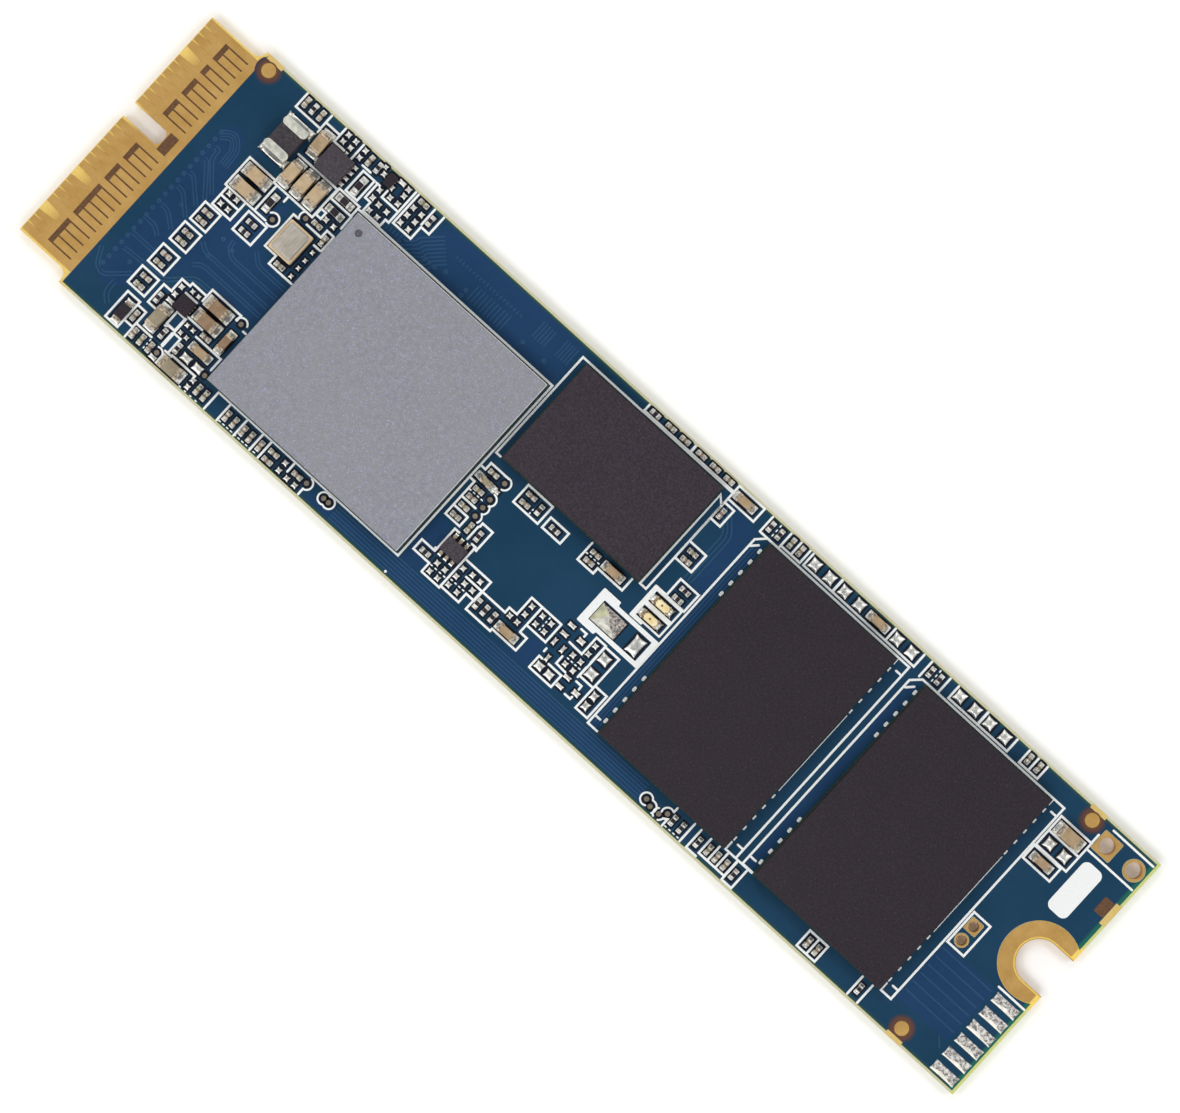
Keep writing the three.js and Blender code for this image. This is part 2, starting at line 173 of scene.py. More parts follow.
def rectangle(x0, x1, y0, y1):
    return [(x0, y0), (x1, y0), (x1, y1), (x0, y1)]


def by_turns(x, y, corners, first_along_x):
    """A path's points, where each corner gives only the X or the Y that changes."""
    path = [(x, y)]
    for number, value in enumerate(corners):
        if first_along_x == (number % 2 == 0):
            x = value
        else:
            y = value
        path.append((x, y))
    return path


def along(x, y, *corners):
    """A path from X, Y whose first run goes along X, its second along Y, and so on by turns."""
    return by_turns(x, y, corners, True)


def cross(x, y, *corners):
    """The same, with its first run along Y."""
    return by_turns(x, y, corners, False)


def filleted(path, radius, steps=5):
    """A path whose inner corners are turned into curves."""
    points = [path[0]]
    for before, corner, after in zip(path, path[1:], path[2:]):
        corner, before, after = Vector(corner), Vector(before), Vector(after)
        reach = min(radius, (before - corner).length / 2, (after - corner).length / 2)
        start = corner + (before - corner).normalized() * reach
        end = corner + (after - corner).normalized() * reach
        for step in range(steps + 1):
            t = step / steps
            point = start * (1 - t) ** 2 + corner * 2 * t * (1 - t) + end * t**2
            points.append((point.x, point.y))
    return points + [path[-1]]


def softened(outline, radius, steps=5):
    """A closed outline whose corners are turned into curves."""
    return filleted(outline[-1:] + outline + outline[:1], radius, steps)[1:-1]


def offset(path, distance):
    """The path moved sideways, to its left, with mitred corners."""
    moved = []
    for i, point in enumerate(path):
        point = Vector(point)
        ways = []
        if i > 0:
            ways.append((point - Vector(path[i - 1])).normalized())
        if i < len(path) - 1:
            ways.append((Vector(path[i + 1]) - point).normalized())
        normals = [Vector((-way.y, way.x)) for way in ways]
        middle = sum(normals, Vector((0, 0))).normalized()
        stretch = 1 / max(middle.dot(normals[0]), 0.5)
        point = point + middle * distance * stretch
        moved.append((point.x, point.y))
    return moved


class Solid:
    """Points in millimetres, faces, and which finish each face has."""

    def __init__(self):
        self.points = []
        self.faces = []
        self.finishes = []

    def add(self, points, faces, finish=0):
        start = len(self.points)
        self.points += [tuple(p) for p in points]
        self.faces += [[start + i for i in face] for face in faces]
        self.finishes += [finish] * len(faces)

    def merge(self, other, x=0, y=0, turn=0):
        """Takes in another solid, turned and then moved."""
        c, s = math.cos(math.radians(turn)), math.sin(math.radians(turn))
        start = len(self.points)
        self.points += [(x + px * c - py * s, y + px * s + py * c, pz) for px, py, pz in other.points]
        self.faces += [[start + i for i in face] for face in other.faces]
        self.finishes += other.finishes

    def stack(self, rings, finish=0):
        """Skins rings of equal length, each anticlockwise from above, lowest first."""
        count = len(rings[0])
        faces = []
        for level in range(len(rings) - 1):
            low, high = level * count, (level + 1) * count
            for i in range(count):
                j = (i + 1) % count
                faces.append([low + i, low + j, high + j, high + i])
        faces.append(list(range(count))[::-1])
        faces.append([(len(rings) - 1) * count + i for i in range(count)])
        self.add([p for ring in rings for p in ring], faces, finish)

    def block(self, x, y, width, depth, low, high, radius=0.05, bevel=0.04, finish=0, steps=3):
        """A box with round corners and a round top edge."""
        levels = [(low, 0.0)]
        for step in range(steps + 1):
            angle = math.pi / 2 * step / steps
            levels.append((high - bevel + bevel * math.sin(angle), bevel * (1 - math.cos(angle))))
        rings = []
        for z, inset in levels:
            outline = rounded(x, y, width - 2 * inset, depth - 2 * inset, max(radius - inset, 0.005), steps)
            rings.append([(px, py, z) for px, py in outline])
        self.stack(rings, finish)

    def plate(self, loops, low, high, finish=0):
        """A flat plate: the first loop is its outline, and the others are holes."""
        outer = loops[0] if signed_area(loops[0]) > 0 else loops[0][::-1]
        loops = [outer] + [hole if signed_area(hole) < 0 else hole[::-1] for hole in loops[1:]]
        flat = [p for loop in loops for p in loop]
        count = len(flat)
        faces = []
        for a, b, c in tessellate_polygon([[Vector((*p, 0)) for p in loop] for loop in loops]):
            if signed_area([flat[a], flat[b], flat[c]]) < 0:
                a, c = c, a
            faces.append([a + count, b + count, c + count])
            faces.append([c, b, a])
        start = 0
        for loop in loops:
            for i in range(len(loop)):
                a, b = start + i, start + (i + 1) % len(loop)
                faces.append([a, b, b + count, a + count])
            start += len(loop)
        points = [(x, y, low) for x, y in flat] + [(x, y, high) for x, y in flat]
        self.add(points, faces, finish)

    def strip(self, path, width, low, high, finish=0, closed=False):
        """A flat line of some width along a path."""
        if closed:
            outer = offset_loop(path, width / 2)
            inner = offset_loop(path, -width / 2)
            self.plate([outer, inner], low, high, finish)
            return
        left, right = offset(path, width / 2), offset(path, -width / 2)
        self.plate([right + left[::-1]], low, high, finish)

    def lathe(self, x, y, profile, steps=32, finish=0, closed=False):
        """Turns a profile of (radius, z) round an upright axis. It runs upwards on the outside."""
        points = []
        for radius, z in profile:
            points += [(px, py, z) for px, py in circle(x, y, radius, steps)]
        faces = []
        levels = len(profile)
        for level in range(levels if closed else levels - 1):
            low, high = level * steps, (level + 1) % levels * steps
            for i in range(steps):
                j = (i + 1) % steps
                faces.append([low + i, low + j, high + j, high + i])
        if not closed:
            faces.append(list(range(steps))[::-1])
            faces.append([(levels - 1) * steps + i for i in range(steps)])
        self.add(points, faces, finish)

    def pillow(self, x, y, width, depth, low, rise, waist=0.16, cells=10, finish=0):
        """Solder on a land: a dome that is steep at its hollow sides and creased towards its corners."""
        lean_x, lean_y = shuffle.uniform(-0.25, 0.25), shuffle.uniform(-0.25, 0.25)
        uneven = 0.08 if rise < 0.15 else 0.02
        foot = low + 0.026
        crease_depth, crease_width = 0.16, 0.14

        def height(u, v):
            edge = max(abs(u), abs(v))
            dome = (1 - abs(u) ** 3) * (1 - abs(v) ** 3) * (1 + lean_x * u + lean_y * v)
            crease = crease_depth * edge * math.exp(-(((abs(u) - abs(v)) / crease_width) ** 2))
            wobble = shuffle.uniform(-uneven, uneven) if edge < 1 else 0
            return foot + rise * max(dome - crease * (1 - edge) * 2 + wobble, 0)

        self.cushion(x, y, width, depth, low, height, waist, cells, finish)

    def cushion(self, x, y, width, depth, low, height, waist, cells, finish=0):
        """A grid of points under a height that depends on u and v, both from -1 to 1, with hollow sides."""
        points = []
        for row in range(cells + 1):
            for column in range(cells + 1):
                u, v = 2 * column / cells - 1, 2 * row / cells - 1
                pull_x = 1 - waist * (1 - v * v) * abs(u)
                pull_y = 1 - waist * (1 - u * u) * abs(v)
                points.append((x + width / 2 * u * pull_x, y + depth / 2 * v * pull_y, height(u, v)))
        wide = cells + 1
        faces = []
        for row in range(cells):
            for column in range(cells):
                corner = row * wide + column
                faces.append([corner, corner + 1, corner + wide + 1, corner + wide])
        rim = list(range(cells)) + [cells + r * wide for r in range(cells)]
        rim += [cells * wide + cells - c for c in range(cells)] + [(cells - r) * wide for r in range(cells)]
        base = len(points)
        points += [(points[i][0], points[i][1], low) for i in rim]
        for k, top in enumerate(rim):
            after = (k + 1) % len(rim)
            faces.append([base + k, base + after, rim[after], top])
        faces.append([base + k for k in range(len(rim))][::-1])
        self.add(points, faces, finish)


def offset_loop(path, distance):
    """A closed anticlockwise path moved outwards by the distance, with mitred corners."""
    moved = []
    for before, point, after in zip(path[-1:] + path[:-1], path, path[1:] + path[:1]):
        first = (Vector(point) - Vector(before)).normalized()
        second = (Vector(after) - Vector(point)).normalized()
        normals = [Vector((way.y, -way.x)) for way in (first, second)]
        middle = (normals[0] + normals[1]).normalized()
        spot = Vector(point) + middle * distance / max(middle.dot(normals[0]), 0.3)
        moved.append((spot.x, spot.y))
    return moved


def make_piece(name, solid, finishes, replaces=(), crease=35):
    """A Blender object from a solid, riding on the card."""
    mesh = bpy.data.meshes.new(name)
    mesh.from_pydata([(x * MM, y * MM, z * MM) for x, y, z in solid.points], [], solid.faces)
    for finish in finishes:
        mesh.materials.append(finish)
    mesh.polygons.foreach_set("material_index", solid.finishes)
    mesh.shade_smooth()
    mesh.set_sharp_from_angle(angle=math.radians(crease))
    mesh.update()
    piece = bpy.data.objects.new(name, mesh)
    bpy.context.scene.collection.objects.link(piece)
    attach(piece, "root")
    if replaces:
        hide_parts(*replaces)
    return piece


# ------------------------------------------------------------------------------------------------
# Finishes
# ------------------------------------------------------------------------------------------------


def linear(red, green, blue):
    """A screen colour from 0 to 255 as the light that it stands for."""
    shares = [c / 255 for c in (red, green, blue)]
    return tuple(s / 12.92 if s <= 0.04045 else ((s + 0.055) / 1.055) ** 2.4 for s in shares)


def tinted(colour, change):
    """A screen colour with a number added to each of its three values."""
    return tuple(c + d for c, d in zip(colour, change))


class Finish:
    """A material with one Principled shader, and short ways to add patterns to it."""

    def __init__(self, name, colour, roughness, metallic=0.0, **sockets):
        self.material = bpy.data.materials.new(name)
        self.material.use_nodes = True
        self.nodes = self.material.node_tree.nodes
        self.links = self.material.node_tree.links
        self.shader = self.nodes["Principled BSDF"]
        self.shader.inputs["Base Color"].default_value = (*linear(*colour), 1)
        self.shader.inputs["Roughness"].default_value = roughness
        self.shader.inputs["Metallic"].default_value = metallic
        for socket, value in sockets.items():
            self.shader.inputs[socket.replace("_", " ")].default_value = value
        self.place = self.nodes.new("ShaderNodeTexCoord").outputs["Object"]

    def noise(self, size, detail=2.0, rough=0.5, stretch=None):
        """Soft noise with features of about that size in millimetres."""
        node = self.nodes.new("ShaderNodeTexNoise")
        node.inputs["Scale"].default_value = 1 / (size * MM)
        node.inputs["Detail"].default_value = detail
        node.inputs["Roughness"].default_value = rough
        place = self.place
        if stretch:
            mapping = self.nodes.new("ShaderNodeMapping")
            mapping.inputs["Scale"].default_value = stretch
            self.links.new(place, mapping.inputs["Vector"])
            place = mapping.outputs["Vector"]
        self.links.new(place, node.inputs["Vector"])
        return node.outputs["Fac"]

    def flakes(self, size):
        """A random value for each small cell."""
        node = self.nodes.new("ShaderNodeTexVoronoi")
        node.inputs["Scale"].default_value = 1 / (size * MM)
        self.links.new(self.place, node.inputs["Vector"])
        split = self.nodes.new("ShaderNodeSeparateColor")
        self.links.new(node.outputs["Color"], split.inputs["Color"])
        return split.outputs["Red"]

    def axis(self, letter):
        """A coordinate in millimetres."""
        split = self.nodes.new("ShaderNodeSeparateXYZ")
        self.links.new(self.place, split.inputs["Vector"])
        return self.reckon("MULTIPLY", split.outputs[letter], 1 / MM)

    def reckon(self, operation, first, second=0.0):
        """One step of arithmetic on numbers or sockets."""
        node = self.nodes.new("ShaderNodeMath")
        node.operation = operation
        for socket, value in zip(node.inputs, (first, second)):
            if isinstance(value, (int, float)):
                socket.default_value = value
            else:
                self.links.new(value, socket)
        return node.outputs["Value"]

    def spread(self, value, low=0.3, high=0.7, to_low=0.0, to_high=1.0):
        """A value's stretch from low to high, mapped and kept inside its ends."""
        node = self.nodes.new("ShaderNodeMapRange")
        self.links.new(value, node.inputs["Value"])
        ends = {"From Min": low, "From Max": high, "To Min": to_low, "To Max": to_high}
        for socket, number in ends.items():
            node.inputs[socket].default_value = number
        return node.outputs["Result"]

    def blend(self, factor, first, second):
        """A mix of two colours, each a screen colour or a socket."""
        node = self.nodes.new("ShaderNodeMix")
        node.data_type = "RGBA"
        self.links.new(factor, node.inputs["Factor"])
        for socket, colour in zip((node.inputs[6], node.inputs[7]), (first, second)):
            if isinstance(colour, tuple):
                socket.default_value = (*linear(*colour), 1)
            else:
                self.links.new(colour, socket)
        return node.outputs[2]

    def colour(self, socket):
        self.links.new(socket, self.shader.inputs["Base Color"])

    def roughness(self, socket):
        self.links.new(socket, self.shader.inputs["Roughness"])

    def bump(self, height, depth):
        """Relief of that depth in millimetres."""
        node = self.nodes.new("ShaderNodeBump")
        node.inputs["Distance"].default_value = depth * MM
        self.links.new(height, node.inputs["Height"])
        self.links.new(node.outputs["Normal"], self.shader.inputs["Normal"])


def laminate_finish():
    """Pale glass laminate, more golden at the connector tab and round the notch, in fine layers."""
    plain_glass = (205, 203, 168)
    made = Finish("glass_laminate", plain_glass, 0.5, Specular_IOR_Level=0.3)
    x = made.axis("X")
    tab = made.spread(x, SHOULDER_X + 1.6, SHOULDER_X - 0.2)
    across = made.reckon("ABSOLUTE", made.axis("Y"))
    near_notch = made.reckon("MULTIPLY", made.spread(x, 40.6, 40.8), made.spread(across, 3.1, 2.7))
    tail = made.spread(x, 44.3, 44.45)
    nose = made.spread(x, NOSE_X + 0.25, BLANK_END_X)
    tips = made.reckon("MULTIPLY", nose, made.spread(across, 9.84, 9.8))
    base = made.blend(tail, plain_glass, (206, 214, 136))
    base = made.blend(near_notch, base, (250, 216, 104))
    base = made.blend(tab, base, made.blend(tips, (236, 202, 106), (190, 149, 78)))
    weave = made.noise(0.12, 3, 0.6, stretch=(1, 1, 6))
    made.colour(made.blend(made.spread(weave, 0.35, 0.7, 0.0, 0.35), base, (170, 150, 95)))
    made.roughness(made.spread(weave, 0.3, 0.7, 0.42, 0.62))
    made.bump(weave, 0.006)
    return made.material


def bare_gap_finish():
    """Brown laminate seen between the contacts."""
    made = Finish("bare_laminate", (96, 66, 44), 0.7, Specular_IOR_Level=0.2)
    grain = made.noise(0.15, 3)
    made.colour(made.blend(made.spread(grain), (88, 60, 40), (110, 80, 56)))
    made.bump(grain, 0.004)
    return made.material


def lacquer_finish(name, middle, light, dark):
    """Blue lacquer: slow changes of tone, orange-peel relief, and greener where it thins at the edges."""
    made = Finish(name, middle, 0.38, Specular_IOR_Level=0.15)
    slow = made.noise(7.0, 3, 0.55)
    fine = made.noise(0.28, 3, 0.6)
    tone = made.blend(made.spread(slow), dark, light)
    tone = made.blend(made.spread(fine, 0.25, 0.8, 0.0, 0.3), tone, light)
    across = made.reckon("ABSOLUTE", made.axis("Y"))
    side = made.spread(across, LACQUER_SIDE_Y - 0.2, LACQUER_SIDE_Y - 0.05)
    tail = made.spread(made.axis("X"), LACQUER_TAIL_X - 0.38, LACQUER_TAIL_X - 0.18)
    tone = made.blend(side, tone, (42, 76, 62))
    made.colour(made.blend(tail, tone, (30, 98, 84)))
    made.roughness(made.spread(fine, 0.3, 0.7, 0.32, 0.46))
    made.bump(fine, 0.004)
    return made.material


def opening_and_painted_shade_finish():
    """The near-black bed round a solder land, where the lacquer stops, darkened with painted shade."""
    made = Finish("bare_bed_with_painted_shade", (16, 20, 32), 0.6, Specular_IOR_Level=0.12)
    grain = made.noise(0.2, 2)
    made.colour(made.blend(made.spread(grain), (12, 15, 25), (24, 30, 46)))
    return made.material


def gold_finish(name="gold_plating", tone=(190, 147, 77), pale=(209, 169, 100)):
    """Satin immersion gold with faint blotches and grain."""
    made = Finish(name, tone, 0.45, metallic=0.55)
    blotch = made.noise(1.3, 4, 0.6)
    grain = made.noise(0.09, 2, 0.7)
    shade = made.blend(made.spread(blotch), tone, pale)
    made.colour(made.blend(made.spread(grain, 0.3, 0.75, 0.0, 0.3), shade, tuple(c * 0.8 for c in tone)))
    made.roughness(made.spread(grain, 0.25, 0.75, 0.36, 0.56))
    made.bump(grain, 0.003)
    return made.material


def solder_finish(name, tone, roughness, grain_size, relief, metallic, shade=0.86):
    """Bright tin with soft mottles."""
    made = Finish(name, tone, roughness, metallic=metallic)
    grain = made.noise(grain_size, 2, 0.5)
    made.colour(made.blend(made.spread(grain, 0.35, 0.65), tuple(c * shade for c in tone), tone))
    made.roughness(made.spread(grain, 0.3, 0.7, roughness - 0.06, roughness + 0.08))
    made.bump(grain, relief)
    return made.material


def speckled_finish(name, dark, light):
    """Solder that froze in coarse bright and dark grains."""
    made = Finish(name, light, 0.4, metallic=0.75)
    grain = made.noise(0.24, 4, 0.75)
    made.colour(made.blend(made.spread(grain, 0.41, 0.59), dark, light))
    made.roughness(made.spread(grain, 0.35, 0.65, 0.5, 0.34))
    made.bump(grain, 0.02)
    return made.material


def mould_finish(name, dark, light, roughness=0.62):
    """Matt moulded plastic with a fine grain and a few pale fillers."""
    made = Finish(name, dark, roughness, Specular_IOR_Level=0.18)
    grain = made.noise(0.16, 4, 0.85)
    filler = made.flakes(0.09)
    slow = made.noise(2.5, 3)
    tone = made.blend(made.spread(slow, 0.3, 0.7, 0.25, 0.6), dark, light)
    tone = made.blend(made.spread(grain, 0.42, 0.66, 0.0, 0.7), tone, tuple(c * 1.4 for c in light))
    made.colour(made.blend(made.spread(filler, 0.94, 1.0, 0.0, 0.5), tone, tuple(c * 1.6 for c in light)))
    rough = made.noise(0.08, 2, 0.6)
    made.roughness(made.spread(rough, 0.3, 0.7, roughness - 0.1, roughness + 0.12))
    made.bump(rough, 0.007)
    return made.material


def grey_finish(name, middle):
    """The controller's pale grey, with soft mottling, a little metallic, and pale flakes brightened into a
    painted glint.
    """
    made = Finish(name, middle, 0.5, metallic=0.25, Specular_IOR_Level=0.35)
    flake = made.flakes(0.06)
    cloud = made.noise(0.35, 5, 0.8)
    slow = made.noise(4.0, 2)
    dark, pale = tinted(middle, (-10, -10, -9)), tinted(middle, (14, 14, 13))
    flake_painted_glint = (min(middle[0] + 50, 255), min(middle[1] + 50, 255), 250)
    tone = made.blend(made.spread(cloud, 0.32, 0.68), dark, pale)
    tone = made.blend(made.spread(slow, 0.35, 0.65, 0.0, 0.5), tone, tinted(middle, (6, 5, 1)))
    # Pale flakes brightened into a painted glint
    tone = made.blend(made.spread(flake, 0.9, 1.0, 0.0, 0.5), tone, flake_painted_glint)
    made.colour(made.blend(made.spread(flake, 0.1, 0.0, 0.0, 0.4), tone, tinted(middle, (-30, -30, -28))))
    made.roughness(made.spread(cloud, 0.3, 0.7, 0.56, 0.42))
    made.bump(cloud, 0.004)
    return made.material


def ceramic_finish(name, middle, pale, dark):
    """Fired ceramic block with faint layers."""
    made = Finish(name, middle, 0.42, Specular_IOR_Level=0.25)
    cloud = made.noise(0.5, 3)
    layer = made.noise(0.06, 2, 0.5, stretch=(0.2, 0.2, 1))
    tone = made.blend(made.spread(cloud), dark, pale)
    made.colour(made.blend(made.spread(layer, 0.35, 0.7, 0.0, 0.3), tone, middle))
    made.bump(cloud, 0.004)
    return made.material


def ink_finish():
    """Matt white ink with a faint grain."""
    made = Finish("white_ink", (234, 236, 234), 0.6, Specular_IOR_Level=0.2)
    grain = made.noise(0.1, 3)
    made.colour(made.blend(made.spread(grain), (228, 231, 232), (240, 242, 239)))
    made.bump(grain, 0.004)
    return made.material


def lens_finish():
    """Cloudy yellow resin."""
    looks = {"Coat_Weight": 0.4, "Subsurface_Weight": 0.15, "Subsurface_Scale": 0.3 * MM}
    made = Finish("indicator_lens", (238, 222, 170), 0.25, **looks)
    cloud = made.noise(0.3, 3)
    made.colour(made.blend(made.spread(cloud), (232, 206, 140), (244, 232, 192)))
    made.bump(cloud, 0.004)
    return made.material


def lid_finish():
    """Brushed nickel lid."""
    made = Finish("nickel_lid", (190, 182, 170), 0.4, metallic=0.6)
    brush = made.noise(0.1, 3, 0.6, stretch=(1, 0.15, 1))
    made.colour(made.blend(made.spread(brush), (176, 168, 157), (198, 190, 178)))
    made.roughness(made.spread(brush, 0.3, 0.7, 0.32, 0.5))
    made.bump(brush, 0.003)
    return made.material


def floor_finish():
    """Matt white table top."""
    made = Finish("studio_floor", (254, 254, 254), 0.8, Specular_IOR_Level=0.1)
    tone = made.noise(60, 2)
    made.colour(made.blend(made.spread(tone), (253, 253, 253), (255, 255, 255)))
    return made.material


LAMINATE = laminate_finish()
BARE_GAP = bare_gap_finish()
LACQUER = lacquer_finish("lacquer_on_copper", (18, 58, 84), (25, 62, 91), (12, 54, 78))
LACQUER_BLUE = lacquer_finish("lacquer_on_glass", (22, 57, 93), (28, 61, 99), (17, 53, 87))
LACQUER_TRACE = lacquer_finish("lacquer_on_trace", (39, 75, 109), (44, 80, 114), (33, 69, 102))
LACQUER_BED = lacquer_finish("lacquer_over_bare_glass", (90, 58, 50), (98, 66, 58), (80, 54, 52))
LACQUER_FADE = lacquer_finish("lacquer_rim_over_bare_glass", (58, 56, 68), (64, 60, 70), (52, 54, 68))
# Near-black beds where the lacquer stops, darkened with painted shade
OPENING_AND_PAINTED_SHADE = opening_and_painted_shade_finish()
GOLD = gold_finish()
GOLDEN = gold_finish("golden_laminate", (226, 194, 116), (238, 208, 132))
RIM = gold_finish("pale_gold_rim", (216, 190, 146), (228, 206, 166))
SOLDER = solder_finish("solder", (246, 246, 240), 0.3, 0.3, 0.003, 0.8)
SPECKLED = speckled_finish("speckled_solder", (110, 104, 102), (246, 243, 238))
# A darker speckle for the big land's shaded facets: painted shade
CRUMPLED_FACET_PAINTED_SHADE = speckled_finish("crumpled_solder_painted_facet_shade", (84, 78, 76), (218, 210, 204))
DULL_TIN = solder_finish("dull_tin_end_caps", (228, 222, 208), 0.3, 0.16, 0.003, 0.8, 0.76)
TIN = solder_finish("tin_end_caps", (218, 200, 176), 0.3, 0.2, 0.004, 0.75, 0.7)
# Cream and pale solder for the big land's lit facets: painted light
CREAM_FACET_PAINTED_LIGHT = solder_finish("cream_solder_painted_facet_light", (204, 202, 170), 0.42, 0.5, 0.006, 0.4)
PALE_FACET_PAINTED_LIGHT = solder_finish("pale_solder_painted_facet_light", (216, 213, 202), 0.42, 0.3, 0.006, 0.4, 0.8)
# White solder for the service lands' low slope: a painted highlight
WHITE_TIN_PAINTED_HIGHLIGHT = solder_finish("white_solder_painted_highlight", (248, 245, 232), 0.42, 0.4, 0.006, 0.3)
TERMINAL = solder_finish("terminal_silver", (226, 226, 214), 0.36, 0.4, 0.004, 0.5)
TEST_METAL = solder_finish("test_point_metal", (136, 126, 112), 0.5, 0.2, 0.003, 0.5)
MOULD = mould_finish("black_mould", (33, 28, 34), (42, 36, 42))
MOULD_WARM = mould_finish("brown_black_mould", (41, 35, 42), (51, 44, 51))
MOULD_PALE = mould_finish("charcoal_mould", (52, 47, 53), (64, 59, 65))
GREY = grey_finish("grey_mould", (140, 141, 149))
GREY_DIMPLE = grey_finish("grey_mould_dimple", (84, 79, 83))
# A pale grey for the controller's sides and sawn edge: a painted highlight
GREY_EDGE_PAINTED_HIGHLIGHT = grey_finish("grey_mould_sawn_edge_painted_highlight", (204, 205, 210))
FERRITE = mould_finish("ferrite", (46, 43, 47), (58, 54, 58), 0.7)
DIE = mould_finish("indicator_die", (96, 80, 52), (120, 100, 66))
CERAMICS = {
    "tan": ceramic_finish("ceramic_tan", (168, 143, 112), (178, 155, 124), (154, 129, 99)),
    "sand": ceramic_finish("ceramic_sand", (185, 162, 129), (194, 173, 142), (174, 150, 116)),
    "brown": ceramic_finish("ceramic_brown", (140, 114, 90), (152, 127, 102), (128, 102, 79)),
    "grey": ceramic_finish("ceramic_grey", (146, 136, 114), (158, 148, 126), (130, 120, 98)),
}
SMALL_CERAMICS = [
    ceramic_finish("small_ceramic_grey", (128, 118, 98), (144, 134, 112), (108, 98, 80)),
    ceramic_finish("small_ceramic_rose", (134, 112, 98), (150, 128, 112), (112, 92, 80)),
    ceramic_finish("small_ceramic_olive", (132, 122, 92), (148, 138, 106), (112, 102, 76)),
]
PORCELAIN = ceramic_finish("porcelain", (216, 196, 166), (228, 210, 182), (196, 172, 138))
RESISTOR_BODY = ceramic_finish("alumina", (210, 206, 196), (222, 218, 208), (190, 186, 176))
CARRIER = mould_finish("package_carrier", (34, 46, 38), (44, 58, 48), 0.5)
INK = ink_finish()
LENS = lens_finish()
LID = lid_finish()
FLOOR = floor_finish()


# ------------------------------------------------------------------------------------------------
# Card
# ------------------------------------------------------------------------------------------------


def notch_outline(radius, tail_x):
    """The notch's path going up the tail edge, from low Y to high Y."""
    x, y = NOTCH
    return [(tail_x, y - radius)] + arc(x, y, radius, 270, 90, 40) + [(tail_x, y + radius)]


def key_outline():
    """The key slot's path going down the nose edge, from high Y to low Y."""
    centre_x = KEY_END_X - KEY_CORNER
    path = [(NOSE_X, KEY_HIGH_Y)]
    path += arc(centre_x, KEY_HIGH_Y - KEY_CORNER, KEY_CORNER, 90, 0, 8)
    path += arc(centre_x, KEY_LOW_Y + KEY_CORNER, KEY_CORNER, 0, -90, 8)
    return path + [(NOSE_X, KEY_LOW_Y)]


def hole_spots():
    """Each plated hole's name, centre, hole radius, land half width, and whether the land is square."""
    for name, (radius, square) in HOLES.items():
        x, y, _, depth = footprint(name)
        yield name, x, y, radius, depth / 2, square


def land_outline(x, y, half, square, grow=0.0):
    if square:
        return rounded(x, y, 2 * (half + grow), 2 * (half + grow), 0.06 + grow)
    return circle(x, y, half + grow)


def laminate_outline():
    fillet_x = SHOULDER_X - SHOULDER_FILLET
    path = [(NOSE_X, TAB_LOW_Y)]
    path += arc(fillet_x, TAB_LOW_Y - SHOULDER_FILLET, SHOULDER_FILLET, 90, 0, 10)
    path += [(SHOULDER_X, -SIDE_Y), (TAIL_X, -SIDE_Y)]
    path += notch_outline(NOTCH_RADIUS + NOTCH_LINING, TAIL_X)
    path += [(TAIL_X, SIDE_Y), (SHOULDER_X, SIDE_Y)]
    path += arc(fillet_x, TAB_HIGH_Y + SHOULDER_FILLET, SHOULDER_FILLET, 0, -90, 10)
    path += [(NOSE_X, TAB_HIGH_Y)]
    return path + key_outline()


def make_laminate():
    holes = [circle(x, y, radius + BARREL_WALL) for _, x, y, radius, _, _ in hole_spots()]
    solid = Solid()
    solid.plate([laminate_outline()] + holes, LAMINATE_LOW, LAMINATE_HIGH)
    make_piece("card_laminate", solid, [LAMINATE], replaces=["circuit_card"])


def lacquer_outline():
    opening = RING_RADIUS + LAND_CLEARANCE
    reach = math.degrees(math.acos((LACQUER_TAIL_X - NOTCH[0]) / opening))
    path = [(GOLD_HEEL_X, -LACQUER_SIDE_Y), (LACQUER_TAIL_X, -LACQUER_SIDE_Y)]
    path += arc(*NOTCH, opening, 360 - reach, reach, 48)
    path += [(LACQUER_TAIL_X, LACQUER_SIDE_Y), (GOLD_HEEL_X, LACQUER_SIDE_Y)]
    return path


def make_lacquer():
    clear = LAND_CLEARANCE
    openings = [land_outline(x, y, half, square, clear) for _, x, y, _, half, square in hole_spots()]
    for name, low, high in (("lacquer_top", LAMINATE_HIGH, TOP), ("lacquer_bottom", 0.0, LAMINATE_LOW)):
        solid = Solid()
        solid.plate([lacquer_outline()] + openings, low, high)
        make_piece(name, solid, [LACQUER])


def comb_window(top_y, first, last):
    """The opening that parts tips from tails, with a gap running back between each pair of contacts."""
    half = GAP / 2
    path = [(BAR_X[0], top_y - first * PITCH + half)]
    for gap in range(first, last + 1):
        y = top_y - gap * PITCH
        path += [(BAR_X[1], y + half)] if gap > first else []
        path += [(GAP_END_X, y + half), (GAP_END_X, y - half)]
        path += [(BAR_X[1], y - half)] if gap < last else []
    return path + [(BAR_X[0], top_y - last * PITCH - half)]


